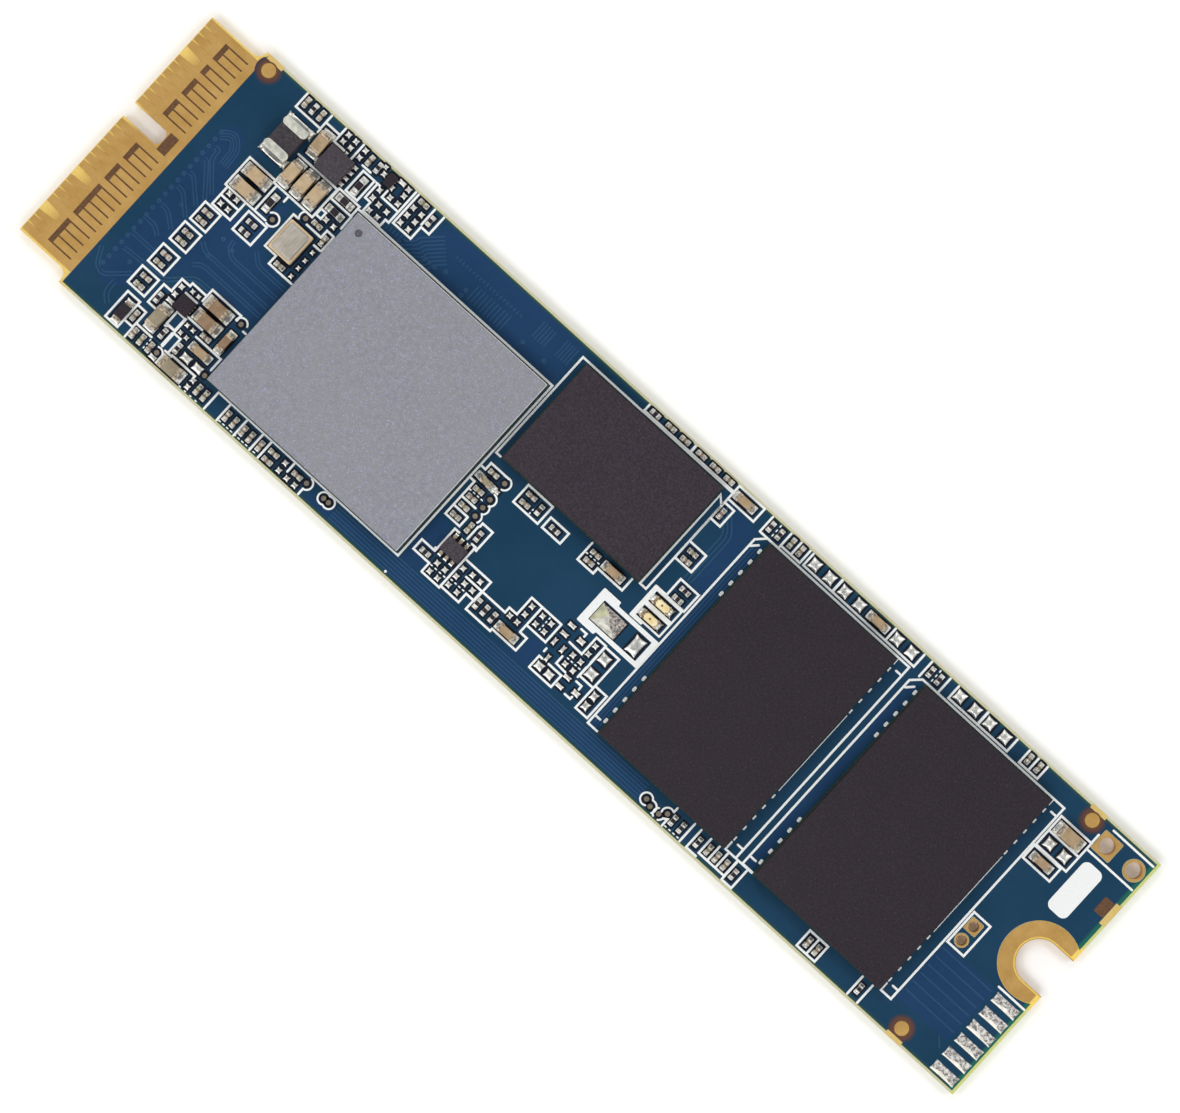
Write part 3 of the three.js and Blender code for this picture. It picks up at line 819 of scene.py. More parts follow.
def contact_outline(top_y, count, blanks, strap_y):
    """A row of contacts seen from above, with its nose edge notched between the contacts' tips."""
    low_y = top_y - count * PITCH
    path = [(GOLD_NOSE_X, low_y), (GOLD_HEEL_X, low_y), (GOLD_HEEL_X, strap_y)]
    if strap_y > top_y:
        path += [(GAP_END_X, strap_y), (GAP_END_X, top_y)]
    notches = []
    for gap in range(1, count):
        y = top_y - gap * PITCH
        if not any(low - 0.1 < y < high + 0.1 for low, high in blanks):
            half = TAPER_GAP / 2
            notches.append([(GOLD_NOSE_X, y + half), (TAPER_END_X, y), (GOLD_NOSE_X, y - half)])
    for low, high in blanks:
        bottom = [(BLANK_END_X, high - BLANK_TAPER), (BLANK_END_X, low + BLANK_TAPER)]
        notches.append([(GOLD_NOSE_X, high), *bottom, (GOLD_NOSE_X, low)])
    notches.sort(key=lambda notch: -notch[0][1])
    return path + [(GOLD_NOSE_X, top_y)] + [point for notch in notches for point in notch]


def make_contacts():
    rows = [
        ("long_row", LONG_TOP_Y, LONG_COUNT, LONG_WINDOWS, LONG_BLANKS, SHORT_TOP_Y - SHORT_COUNT * PITCH),
        ("short_row", SHORT_TOP_Y, SHORT_COUNT, SHORT_WINDOWS, SHORT_BLANKS, SHORT_TOP_Y),
    ]
    # Each face's name, its gold from and to in Z, and the floor of its gaps from and to
    faces = [
        ("top", LAMINATE_HIGH + GAP_FLOOR, TOP, LAMINATE_HIGH, LAMINATE_HIGH + GAP_FLOOR),
        ("bottom", 0.0, LAMINATE_LOW - GAP_FLOOR, LAMINATE_LOW - GAP_FLOOR, LAMINATE_LOW),
    ]
    for side, gold_low, gold_high, floor_low, floor_high in faces:
        floors = Solid()
        for row, top_y, count, windows, blanks, strap_y in rows:
            outline = contact_outline(top_y, count, blanks, strap_y)
            holes = [comb_window(top_y, first, last) for first, last in windows]
            node = f"{side}_contacts_{row}"
            solid = Solid()
            solid.plate([outline] + holes, gold_low, gold_high)
            make_piece(node + "_gold", solid, [GOLD], replaces=[node])
            low_y, high_y = top_y - windows[-1][1] * PITCH - GAP, top_y - PITCH + GAP
            bed = rectangle(BAR_X[0] - GAP_MARGIN, GAP_END_X + GAP_MARGIN, low_y, high_y)
            floors.plate([bed], floor_low, floor_high)
        key_bed = rectangle(KEY_END_X + GAP_MARGIN, GAP_END_X + GAP_MARGIN, *KEY_BED_Y)
        floors.plate([key_bed], floor_low, floor_high)
        make_piece(f"{side}_contact_gaps", floors, [BARE_GAP])


def make_notch_plating():
    solid = Solid()
    reach = math.degrees(math.acos((RING_TAIL_X - NOTCH[0]) / RING_RADIUS))
    outer = arc(*NOTCH, RING_RADIUS, reach, 360 - reach, 60)
    inner = notch_outline(NOTCH_RADIUS + NOTCH_LIP, RING_TAIL_X)
    for low, high in ((0.0, LAMINATE_LOW), (LAMINATE_HIGH, TOP)):
        solid.plate([outer + inner], low, high)
    lining_outer = notch_outline(NOTCH_RADIUS + NOTCH_LINING, TAIL_X)
    lining = lining_outer + notch_outline(NOTCH_RADIUS, TAIL_X)[::-1]
    solid.plate([lining], 0.0, TOP)
    make_piece("notch_plating_smooth", solid, [GOLD], replaces=["notch_plating"])


def make_plated_holes():
    for name, x, y, radius, half, square in hole_spots():
        solid = Solid()
        for low, high in ((0.0, LAMINATE_LOW), (LAMINATE_HIGH, TOP)):
            solid.plate([land_outline(x, y, half, square), circle(x, y, radius + BARREL_WALL)], low, high)
        outside = radius + BARREL_WALL
        profile = [(outside, 0.0), (outside, TOP), (radius + HOLE_RIM, TOP), (radius, TOP - HOLE_RIM)]
        profile += [(radius, HOLE_RIM), (radius + HOLE_RIM, 0.0)]
        solid.lathe(x, y, profile, 48, closed=True)
        make_piece(name + "_plating", solid, [GOLD], replaces=[name])


make_laminate()
make_lacquer()
make_contacts()
make_notch_plating()
make_plated_holes()


# ------------------------------------------------------------------------------------------------
# Copper under the lacquer: areas without a copper plane, and bundles of traces
# ------------------------------------------------------------------------------------------------

BLUE_FIELDS = [
    [
        (-38.9, 5.0), (-38.2, 5.6), (-37.2, 5.3), (-36.4, 3.6), (-35.9, 0.6), (-36.6, -8.2), (-38.2, -9.0),
        (-38.9, -7.6),
    ],
    [(-34.6, 0.2), (-31.6, 4.2), (-31.4, 0.3), (-28.0, -0.4), (-28.0, -3.9), (-33.2, -3.9), (-34.8, -5.4)],
    [(-26.0, 7.2), (-9.6, 7.2), (-9.6, 10.5), (-22.6, 10.5), (-23.0, 8.8), (-23.8, 8.8), (-23.8, 7.8)],
    [(-17.2, -10.5), (15.0, -10.5), (14.2, -9.25), (-9.4, -9.2), (-17.2, -9.9)],
    [(-9.4, -9.1), (-7.7, -8.9), (-7.8, -7.0), (-8.2, -5.0), (-9.4, -5.0)],
    [(5.0, 9.3), (8.0, 9.1), (8.0, 3.2), (7.0, 3.3), (6.8, 7.0), (6.0, 8.8)],
    [(8.3, -8.7), (9.0, -8.7), (9.0, 8.7), (8.3, 8.4)],
    [(23.0, -8.6), (23.6, -8.6), (23.6, 8.6), (23.0, 8.4)],
    [(37.1, -8.4), (41.9, -8.4), (41.9, -3.4), (37.1, -3.4)],
    [(-1.0, -9.0), (2.3, -9.0), (2.3, -6.8), (1.2, -6.9), (1.1, -8.6)],
]
TRACE_WIDTH = 0.1
TRACE_BEND = 0.5
TRACES_BELOW = (-0.004, 0.001)  # Z from and to, on the lower face
# Each bundle: how many traces, their pitch, and the path of the first
BUNDLES = [
    (4, 0.21, [(-38.9, 4.6), (-38.2, 5.15), (-37.6, 5.15), (-36.85, 4.4), (-36.75, 2.9)]),
    (2, 0.24, [(-38.4, 3.6), (-37.9, 3.6), (-37.9, 2.8), (-36.2, 0.9)]),
    (2, 0.24, [(-38.4, 2.5), (-38.1, 2.5), (-36.3, 0.3)]),
    (2, 0.24, [(-38.5, 1.1), (-38.1, 1.1), (-36.5, -0.4)]),
    (2, 0.24, [(-38.5, -0.2), (-37.9, -0.2), (-36.5, -1.5)]),
    (2, 0.24, [(-38.5, -1.9), (-37.8, -1.9), (-36.7, -2.8)]),
    (2, 0.24, [(-38.8, -3.3), (-37.7, -3.3), (-37.1, -3.8)]), (2, 0.24, [(-38.7, -4.7), (-36.6, -4.7)]),
    (2, 0.24, [(-38.4, -5.9), (-37.0, -5.8), (-34.9, -5.8), (-33.2, -4.1), (-31.8, -4.1)]),
    (2, 0.24, [(-39.5, -6.9), (-38.9, -8.1), (-38.3, -8.3), (-36.8, -6.9)]),
    (2, 0.3, [(-37.1, -8.2), (-37.1, -9.1), (-36.5, -9.6)]),
    (2, 0.24, [(-32.8, -0.5), (-32.8, -0.9), (-32.3, -1.4), (-28.05, -1.4)]),
    (2, 0.24, [(-34.5, -1.9), (-33.9, -2.3), (-28.05, -2.3)]),
    (2, 0.24, [(-34.1, -3.6), (-33.5, -3.1), (-28.05, -3.1)]),
    (2, 0.24, [(-31.2, 0.1), (-30.5, -0.55), (-28.05, -0.55)]),
    (8, 0.28, [(-24.5, 7.2), (-23.5, 8.1), (-23.5, 8.4), (-22.2, 9.7)]),
    (6, 0.25, [(-15.0, -9.15), (14.3, -9.15)]), (3, 0.24, [(8.45, -8.4), (8.45, 8.2)]),
    (6, 0.78, [(37.2, -3.7), (41.8, -3.7)]), (1, 0.3, [(41.2, -8.5), (41.8, -9.1)]),
    (3, 0.3, [(5.4, 9.2), (6.9, 7.6), (6.9, 3.3)]),
]  # fmt: skip
# Runs of short traces side by side: first X, last X, pitch, low Y, high Y
COMBS = [(-18.1, -15.0, 0.31, 7.4, 8.7), (-13.0, -11.9, 0.27, 8.6, 10.0), (-10.9, -9.9, 0.25, 8.7, 10.1)]
COMBS += [(-20.6, -14.4, 0.32, 9.05, 9.3), (-26.0, -24.2, 0.3, 7.3, 7.7)]
FIRST_BELOW = 11  # BUNDLES from this index on also run on the lower face
VIA_RADIUS = 0.17
# Columns of lacquered vias: X, first Y, count, pitch
VIA_COLUMNS = [(-38.75, 4.55, 20, 0.65), (-37.4, -1.1, 2, 5.4), (-33.6, -0.9, 2, 1.6), (-32.6, -1.1, 1, 2.1)]
VIA_ROWS = [(-20.5, 7.9, 2, 1.9), (-18.6, 7.4, 1, 1.0), (-13.2, 7.9, 2, 2.0), (-22.3, 7.6, 3, 0.5)]


def bundle_lanes(bundles):
    """The path of each trace of some bundles."""
    for count, pitch, path in bundles:
        for number in range(count):
            yield filleted(offset(path, -number * pitch), TRACE_BEND)


def make_covered_copper():
    fields = Solid()
    for outline in BLUE_FIELDS:
        fields.plate([softened(outline, 0.35)], TOP, TOP + FIELD_RISE)
    make_piece("lacquer_without_copper", fields, [LACQUER_BLUE])

    traces = Solid()
    low, high = TOP, TOP + TRACE_RISE
    for lane in bundle_lanes(BUNDLES):
        traces.strip(lane, TRACE_WIDTH, low, high)
    for first_x, last_x, pitch, low_y, high_y in COMBS:
        for number in range(round((last_x - first_x) / pitch) + 1):
            x = first_x + number * pitch
            traces.strip([(x, low_y), (x, high_y)], TRACE_WIDTH, low, high)
    spots = [(x, y - n * pitch) for x, y, count, pitch in VIA_COLUMNS for n in range(count)]
    spots += [(x + n * pitch, y) for x, y, count, pitch in VIA_ROWS for n in range(count)]
    dip = [(VIA_RADIUS, low), (VIA_RADIUS, high), (VIA_RADIUS * 0.6, high + 0.003), (VIA_RADIUS * 0.3, low)]
    for x, y in spots:
        traces.lathe(x, y, dip, 12)
    make_piece("lacquered_traces", traces, [LACQUER_TRACE])

    under = Solid()
    for lane in bundle_lanes(BUNDLES[FIRST_BELOW:]):
        under.strip(lane, TRACE_WIDTH, *TRACES_BELOW)
    make_piece("lacquered_traces_below", under, [LACQUER_TRACE])


make_covered_copper()


# ------------------------------------------------------------------------------------------------
# White ink
# ------------------------------------------------------------------------------------------------

EDGE_Y = LACQUER_SIDE_Y - 0.08  # ink that runs off the card stops here

# Closed boxes: X from and to, Y from and to
INK_BOXES = [
    (-35.85, -34.15, 0.4, 2.05), (-33.6, -31.9, 0.05, 1.75), (-36.3, -34.85, -1.4, 0.2),
    (-36.42, -34.9, -3.4, -1.78), (-36.5, -35.0, -5.58, -3.95), (-36.55, -35.0, -7.62, -6.08),
    (-36.1, -34.95, -10.47, -8.1), (-29.95, -29.5, 4.75, 5.3), (-29.95, -28.05, 6.3, 7.2),
    (-29.55, -28.48, 7.4, 9.25), (-6.15, -3.85, -0.85, 0.75), (-3.45, -1.75, -0.82, 0.12),
    (4.85, 7.25, 9.45, 10.66), (6.2, 7.9, 1.5, 3.05), (5.5, 6.8, -6.75, -4.05), (6.8, 7.9, -8.6, -6.55),
    (37.15, 40.0, 7.4, 8.72), (37.15, 40.0, 6.05, 7.4), (37.1, 39.6, 4.75, 5.95),
    (37.15, 38.68, -3.18, -0.38), (-32.55, -31.75, -7.95, -6.85), (29.5, 30.4, -10.5, -9.08),
    (30.4, 31.2, -10.5, -9.08),
]  # fmt: skip
# Lines, from corner to corner, as points or by turns along X and Y
INK_LINES = [
    # Beside the connector end, top
    cross(-36.1, EDGE_Y, 9.4, -33.78, EDGE_Y), cross(-33.75, 9.4, 9.1), along(-33.78, 10.0, -32.45),
    cross(-32.45, EDGE_Y, 9.4, -31.5), cross(-30.75, EDGE_Y, 9.3),
    along(-33.7, 7.05, -30.02, 4.42, -33.65, 5.2), along(-33.65, 4.6, -36.08, 2.05, -35.85),
    along(-34.15, 2.05, -32.3), cross(-33.35, 4.42, 2.05), cross(-32.22, 4.42, 3.9),
    along(-35.8, 1.3, -34.2), along(-30.7, 3.7, -31.12, 0.72, -30.08, -0.02, -27.95),
    along(-29.95, 3.78, -28.6, 4.42, -28.0), along(-28.6, 3.05, -28.0), [(-28.0, 6.3), (-27.98, 5.2)],
    cross(-27.95, 4.4, 3.1), cross(-29.98, 6.3, 7.0), along(-29.85, 9.5, -29.1),
    cross(-28.2, 9.25, 7.95, -27.7, 7.15, -26.1), cross(-26.1, 7.15, 7.75, -25.8, EDGE_Y),
    along(-28.3, 9.25, -28.0), cross(-27.35, 9.35, 8.75, -25.95), cross(-25.55, EDGE_Y, 7.95, -23.9, 9.05),
    cross(-24.0, EDGE_Y, 9.2), along(-23.9, 9.05, -23.15, EDGE_Y),
    # Beside the connector end, bottom
    along(-34.9, -8.35, -34.15, -9.75, -34.9), cross(-34.12, -9.75, -EDGE_Y),
    along(-33.8, -6.05, -34.55, -7.72, -33.8), cross(-33.85, -6.0, -4.92, -33.1, -4.65, -31.75),
    cross(-31.75, -5.1, -4.05, -29.05, -4.5), along(-33.0, -5.47, -31.95), along(-28.2, -4.78, -27.95),
    along(-30.4, -7.27, -28.05, -8.3), cross(-31.7, -9.35, -8.12, -31.1, -9.35), along(-34.1, -9.38, -32.7),
    along(-31.7, -6.62, -30.4), [(-31.8, -7.98), (-32.3, -7.98), (-32.55, -8.15)], cross(-31.8, -8.2, -9.3),
    along(-31.35, -9.45, -30.75, -9.36, -28.6, -9.6), cross(-31.8, -7.95, -6.9),
    # Along the controller
    along(-27.9, 7.02, -9.6, -9.08, -26.6, -EDGE_Y), cross(-19.3, -9.2, -9.95),
    cross(-17.68, -10.1, -EDGE_Y),
    # Memory
    along(-8.95, 0.9, -9.35, 9.95, -3.65), cross(-3.65, 9.97, EDGE_Y),
    [(4.85, 9.9), (4.85, 0.9), (4.28, 0.9), (4.28, 9.3), (4.85, 8.75)], along(4.9, 9.1, 5.75, 7.62, 4.9),
    along(4.9, 5.45, 6.42, 3.9, 4.9),
    # Below the memory
    along(-9.5, -0.48, -9.12, 0.12, -7.45), along(-9.5, -1.62, -9.12, -4.66, -7.78, -3.8),
    along(-9.1, -2.97, -7.8), along(-9.1, -3.8, -7.8), cross(-6.78, -3.8, -4.95),
    cross(-6.7, -3.72, -3.42, -5.76, -5.15, -5.98), along(-7.5, -5.0, -7.9, -7.1),
    along(-6.3, -5.0, -5.95, -8.8, -7.62), along(-7.9, -7.1, -9.12, -8.0, -7.62, -8.8),
    along(-5.9, -6.08, -3.5, -7.85, -4.25, -8.65, -5.9),
    [
        (-5.05, -6.98), (-3.5, -6.98), (-1.35, -6.98), (-1.35, -6.52), (-0.65, -6.52), (-0.65, -4.95),
        (2.15, -4.95),
    ],
    cross(-3.55, -7.0, -8.65, -1.25, -8.45, 1.0, -7.3, 0.35), cross(0.35, -7.3, -4.95),
    along(0.35, -6.62, 2.15, -4.95), cross(-0.1, 0.75, -0.8, 1.38, -0.32, 3.68, 0.75),
    # Bare footprints beside the first flash chip
    along(3.4, -4.25, 3.9, -4.5), [(3.4, -5.48), (4.6, -5.52), (4.6, -3.97), (5.47, -3.97), (5.47, -5.55)],
    cross(2.5, -6.9, -7.15), [(3.7, -6.55), (3.7, -7.2), (4.6, -7.25)], along(2.75, -7.62, 2.47, -8.68),
    along(2.47, -8.68, 4.55, -7.6, 3.35), [(5.6, -7.2), (6.1, -7.2), (6.12, -7.5)],
    [(5.6, -8.4), (6.1, -8.4), (6.12, -8.2)], cross(5.47, -6.9, -6.0),
    # First flash chip
    [(9.05, -8.8), (8.15, -8.8), (8.15, 8.6), (8.8, 9.25), (22.22, 9.25), (22.22, -8.8)],
    cross(8.05, EDGE_Y, 9.25), [(8.2, 8.02), (8.65, 8.48)], along(8.15, -8.05, 8.65),
    along(8.05, 9.25, 8.8), along(21.7, 8.45, 22.2), along(21.7, -8.05, 22.2),
    cross(21.25, -8.2, -8.85, 23.75), cross(9.8, EDGE_Y, 9.25), along(9.8, 9.5, 11.6, EDGE_Y),
    cross(10.75, 9.5, EDGE_Y), [(11.9, EDGE_Y), (11.9, 9.55), (22.42, 9.5), (22.42, EDGE_Y)],
    cross(14.65, 9.6, EDGE_Y), cross(19.7, 9.6, EDGE_Y),
    # Second flash chip
    [
        (23.75, -8.8), (22.83, -8.8), (22.83, 8.6), (23.5, 9.25), (36.92, 9.25), (36.92, -8.83),
        (35.95, -8.83),
    ],
    [(22.95, 8.02), (23.4, 8.48)], along(22.9, -8.05, 23.4), cross(35.95, -8.83, -8.2),
    along(36.4, 8.45, 36.9), along(36.4, -8.05, 36.9), cross(23.15, EDGE_Y, 9.25),
    cross(24.9, EDGE_Y, 9.25), cross(25.7, EDGE_Y, 9.5, 31.25, EDGE_Y), cross(28.45, 9.5, EDGE_Y),
    cross(32.4, EDGE_Y, 9.5, 34.12, EDGE_Y), cross(33.25, 9.5, EDGE_Y),
    # Low edge, right
    cross(16.85, -9.0, -9.36), [(16.57, -10.22), (16.85, -10.05), (16.85, -EDGE_Y)],
    cross(18.5, -9.0, -EDGE_Y), cross(19.12, -9.0, -EDGE_Y, 20.05), cross(20.05, -9.0, -10.32, 22.45, -9.0),
    cross(20.85, -9.0, -10.3), cross(21.6, -9.0, -10.3), along(22.5, -EDGE_Y, 23.4, -9.0),
    cross(34.4, -9.0, -EDGE_Y), cross(35.35, -9.0, -EDGE_Y), cross(22.48, -9.0, -EDGE_Y),
    # Notch end
    cross(39.97, 8.7, 9.5), along(40.55, 10.42, 44.3), along(40.12, 8.2, 44.3), along(41.95, -3.1, 44.35),
    # Low edge, left
    cross(-25.4, -9.2, -EDGE_Y), cross(-23.8, -9.2, -EDGE_Y), cross(-22.3, -9.2, -EDGE_Y),
    cross(-21.5, -9.2, -EDGE_Y),
]  # fmt: skip
# Wide lines: width, then the path
INK_BARS = [
    (0.27, along(-3.65, 10.02, 4.85)), (0.2, cross(0.7, 10.0, EDGE_Y)), (0.2, cross(14.65, 9.6, EDGE_Y)),
    (0.2, cross(28.45, 9.5, EDGE_Y)),
]  # fmt: skip
# Wide frames: the outline, then the windows in it
LIGHT_FRAME = [
    [
        (5.15, 1.62), (6.2, 1.62), (6.2, 1.5), (7.87, 1.5), (7.87, -1.05), (6.3, -1.05), (6.3, -1.22),
        (5.15, -1.22),
    ],
    rectangle(5.52, 7.72, 0.38, 1.3), rectangle(5.52, 7.72, -0.9, 0.02),
]  # fmt: skip
BIG_LAND_FRAME = [
    [
        (2.66, -0.98), (4.22, -0.98), (4.26, -1.3), (8.12, -1.3), (8.12, -3.72), (4.28, -3.72),
        (4.24, -3.96), (2.66, -3.96),
    ],
    rectangle(3.26, 7.7, -3.38, -1.64),
]  # fmt: skip
# Round marks: centre, radius, and the arc's ends in degrees
INK_ARCS = [
    (-31.97, 2.42, 0.5, 145, -110), (-30.3, 4.05, 0.47, 130, 225), (-28.65, -4.5, 0.47, 180, 20),
    (-31.7, -9.98, 0.45, 110, -20), (-7.45, -0.32, 0.48, 90, -75), (-7.45, -1.85, 0.48, 90, -60),
    (-7.45, -2.6, 0.48, 55, -55), (-7.45, -3.4, 0.48, 60, -30), (-17.75, -9.65, 0.47, 80, -75),
    (-16.13, -9.62, 0.45, 60, 300), (-15.68, -9.62, 0.45, 120, -120), (14.8, -9.98, 0.46, 32, 300),
    (15.34, -10.21, 0.46, 105, -38), (16.14, -10.19, 0.42, 130, 240), (16.6, -9.77, 0.45, 200, 62),
    (16.14, -10.19, 0.42, -60, -5),
]  # fmt: skip
# Rows of short marks: first point, step and count, and each mark's width and depth
PACKAGE_COLUMNS = [(8.98, 0.22, 0.4), (21.27, 0.12, 0.36), (23.7, 0.22, 0.4), (35.97, 0.12, 0.36)]
PACKAGE_DASHES = [
    (x, y, 0, -1.0, 5, width, depth)
    for x, width, depth in PACKAGE_COLUMNS
    for y in (8.2, -3.85)
]
DASHES = PACKAGE_DASHES + [
    (8.9, 10.5, 0, -0.42, 3, 0.1, 0.22), (24.03, 10.5, 0, -0.42, 3, 0.1, 0.22),
    (1.25, -5.2, 0, -0.34, 4, 0.1, 0.18), (4.1, -6.4, 0.35, 0, 4, 0.2, 0.1),
    (-5.65, -7.82, 0.36, 0, 4, 0.2, 0.1), (0.1, -0.03, 0.36, 0, 4, 0.2, 0.1),
    (-8.95, -2.25, 0.36, 0, 4, 0.2, 0.1), (-32.62, -9.6, 0, -0.34, 3, 0.1, 0.18),
    (17.08, -10.52, 0.38, 0, 4, 0.2, 0.1), (-25.2, -10.53, 0.36, 0, 10, 0.22, 0.09),
    (-4.75, -0.35, 0, -0.32, 2, 0.1, 0.16), (-28.9, -EDGE_Y, 0.5, 0, 4, 0.2, 0.1),
    (6.78, -6.9, 0, -0.5, 3, 0.1, 0.2), (-7.4, -8.0, 0.4, 0, 4, 0.2, 0.1),
]  # fmt: skip
THIN_WIDTH = 0.06
THIN_INK = [(x, y0, y1) for x in (21.27, 35.97) for y0, y1 in ((8.7, 9.2), (-3.3, 3.8))]  # X, Y from and to
INK_DOTS = [(-7.98, -6.92, 0.13), (-9.5, -10.5, 0.1)]  # X, Y and radius
BLANK_LABEL = (41.35, 5.5, 1.75, 4.3)  # centre, width and depth


def make_ink():
    marks = [(rectangle(x0, x1, y0, y1), INK_WIDTH, True) for x0, x1, y0, y1 in INK_BOXES]
    marks += [(path, INK_WIDTH, False) for path in INK_LINES]
    marks += [(path, width, False) for width, path in INK_BARS]
    marks += [(arc(x, y, radius, start, end, 16), ARC_WIDTH, False) for x, y, radius, start, end in INK_ARCS]
    marks += [([(x, y0), (x, y1)], THIN_WIDTH, False) for x, y0, y1 in THIN_INK]
    solid = Solid()
    high = TOP + INK_RISE
    for path, width, closed in marks:
        high += INK_STEP
        solid.strip(path, width, TOP, high, closed=closed)
        if not closed:
            for x, y in (path[0], path[-1]):
                high += INK_STEP
                solid.lathe(x, y, [(width / 2, TOP), (width / 2, high)], 12)
    for outline, *windows in (LIGHT_FRAME, BIG_LAND_FRAME):
        high += INK_STEP
        solid.plate([softened(outline, 0.1, 3)] + windows, TOP, high)
    for x, y, step_x, step_y, count, width, depth in DASHES:
        for number in range(count):
            centre = (x + number * step_x, y + number * step_y)
            outline = rounded(*centre, width, depth, 0.4 * min(width, depth))
            solid.plate([outline], TOP, TOP + INK_RISE)
    for x, y, radius in INK_DOTS:
        solid.lathe(x, y, [(radius, TOP), (radius, TOP + INK_RISE)], 20)
    make_piece("silkscreen_lines", solid, [INK])

    block = Solid()
    block.plate([rounded(*BLANK_LABEL, 0.5, 8)], TOP, TOP + INK_RISE)
    make_piece("silkscreen_blank_label", block, [INK])


make_ink()


# ------------------------------------------------------------------------------------------------
# Small parts
# ------------------------------------------------------------------------------------------------

# Centres of the smallest parts, by kind and direction
SMALLEST = {
    ("capacitor", ALONG_X): [
        (-35.65, -0.3), (-35.62, -1.0), (-35.72, -2.3), (-35.7, -3.0), (-35.8, -4.45), (-35.8, -5.18),
        (-35.8, -6.55), (-35.8, -7.27), (-29.4, 4.25), (-29.42, 0.35), (-29.85, -6.87), (-24.85, 10.38),
        (-20.85, -9.65), (-20.85, -10.35), (-18.6, -9.7), (-8.48, -0.33), (-8.48, -1.9), (-8.48, -2.62),
        (-8.48, -3.42), (-8.48, -4.3), (-5.45, 0.3), (-5.45, -0.42), (0.62, 0.32), (0.62, -0.4),
        (5.6, 4.95), (5.6, 4.25), (-1.45, 10.45), (-0.12, 10.45), (1.42, 10.45), (2.75, 10.45),
        (4.05, 10.45),
    ],
    ("capacitor", ALONG_Y): [
        (-35.72, 10.12), (-34.32, 10.12), (-29.68, 10.1), (-28.3, 3.7), (-34.58, -9.05), (-7.2, -4.28),
        (5.22, 8.35), (10.27, 10.15), (11.12, 10.15), (32.78, 10.15), (33.68, 10.15), (20.42, -9.7),
        (21.2, -9.7), (22.0, -9.7), (29.95, -9.8), (30.78, -9.8), (-33.8, -10.0), (-33.1, -10.0),
        (-32.3, -10.0), (-27.8, -9.92), (-27.15, -9.92), (-25.05, -9.92), (-24.35, -9.92), (-23.5, -9.92),
        (-22.82, -9.92), (-21.92, -9.92),
    ],
    ("resistor", ALONG_X): [
        (-32.85, 1.22), (-32.85, 0.45), (-2.9, 10.42), (-8.35, -7.62), (-2.67, -0.36), (7.0, 2.6),
        (7.0, 1.84),
    ],
    ("resistor", ALONG_Y): [
        (-35.02, 10.12), (-28.9, 10.1), (-34.2, -7.0), (-32.27, -8.65), (-23.68, 9.8), (-6.3, -4.3),
        (-4.38, -0.05), (-3.2, -7.82), (-2.48, -7.82), (-1.75, -7.82), (8.42, 10.02), (9.25, 10.02),
        (23.57, 10.02), (24.37, 10.02), (17.2, -9.85), (17.98, -9.85), (19.52, -9.8), (22.88, -9.8),
        (34.8, -9.8), (-30.8, -8.75),
    ],
}  # fmt: skip
SMALLEST_SIZE = {
    "capacitor": {"length": 0.62, "width": 0.33, "height": 0.33, "cap": 0.23, "toe": 0.12},
    "resistor": {"length": 0.58, "width": 0.34, "height": 0.24, "cap": 0.16, "toe": 0.14},
}
# Next size up: kind, X, Y and direction
MEDIUM = [
    ("resistor", -29.03, 8.25, ALONG_Y), ("resistor", -29.03, 6.75, ALONG_X),
    ("resistor", -29.05, 5.72, ALONG_X), ("capacitor", -8.5, -1.1, -4), ("resistor", -32.83, 3.2, ALONG_Y),
]  # fmt: skip
MEDIUM_SIZE = {
    "capacitor": {"length": 1.05, "width": 0.5, "height": 0.5, "cap": 0.34, "toe": 0.42},
    "resistor": {"length": 0.96, "width": 0.5, "height": 0.35, "cap": 0.2, "toe": 0.28},
}

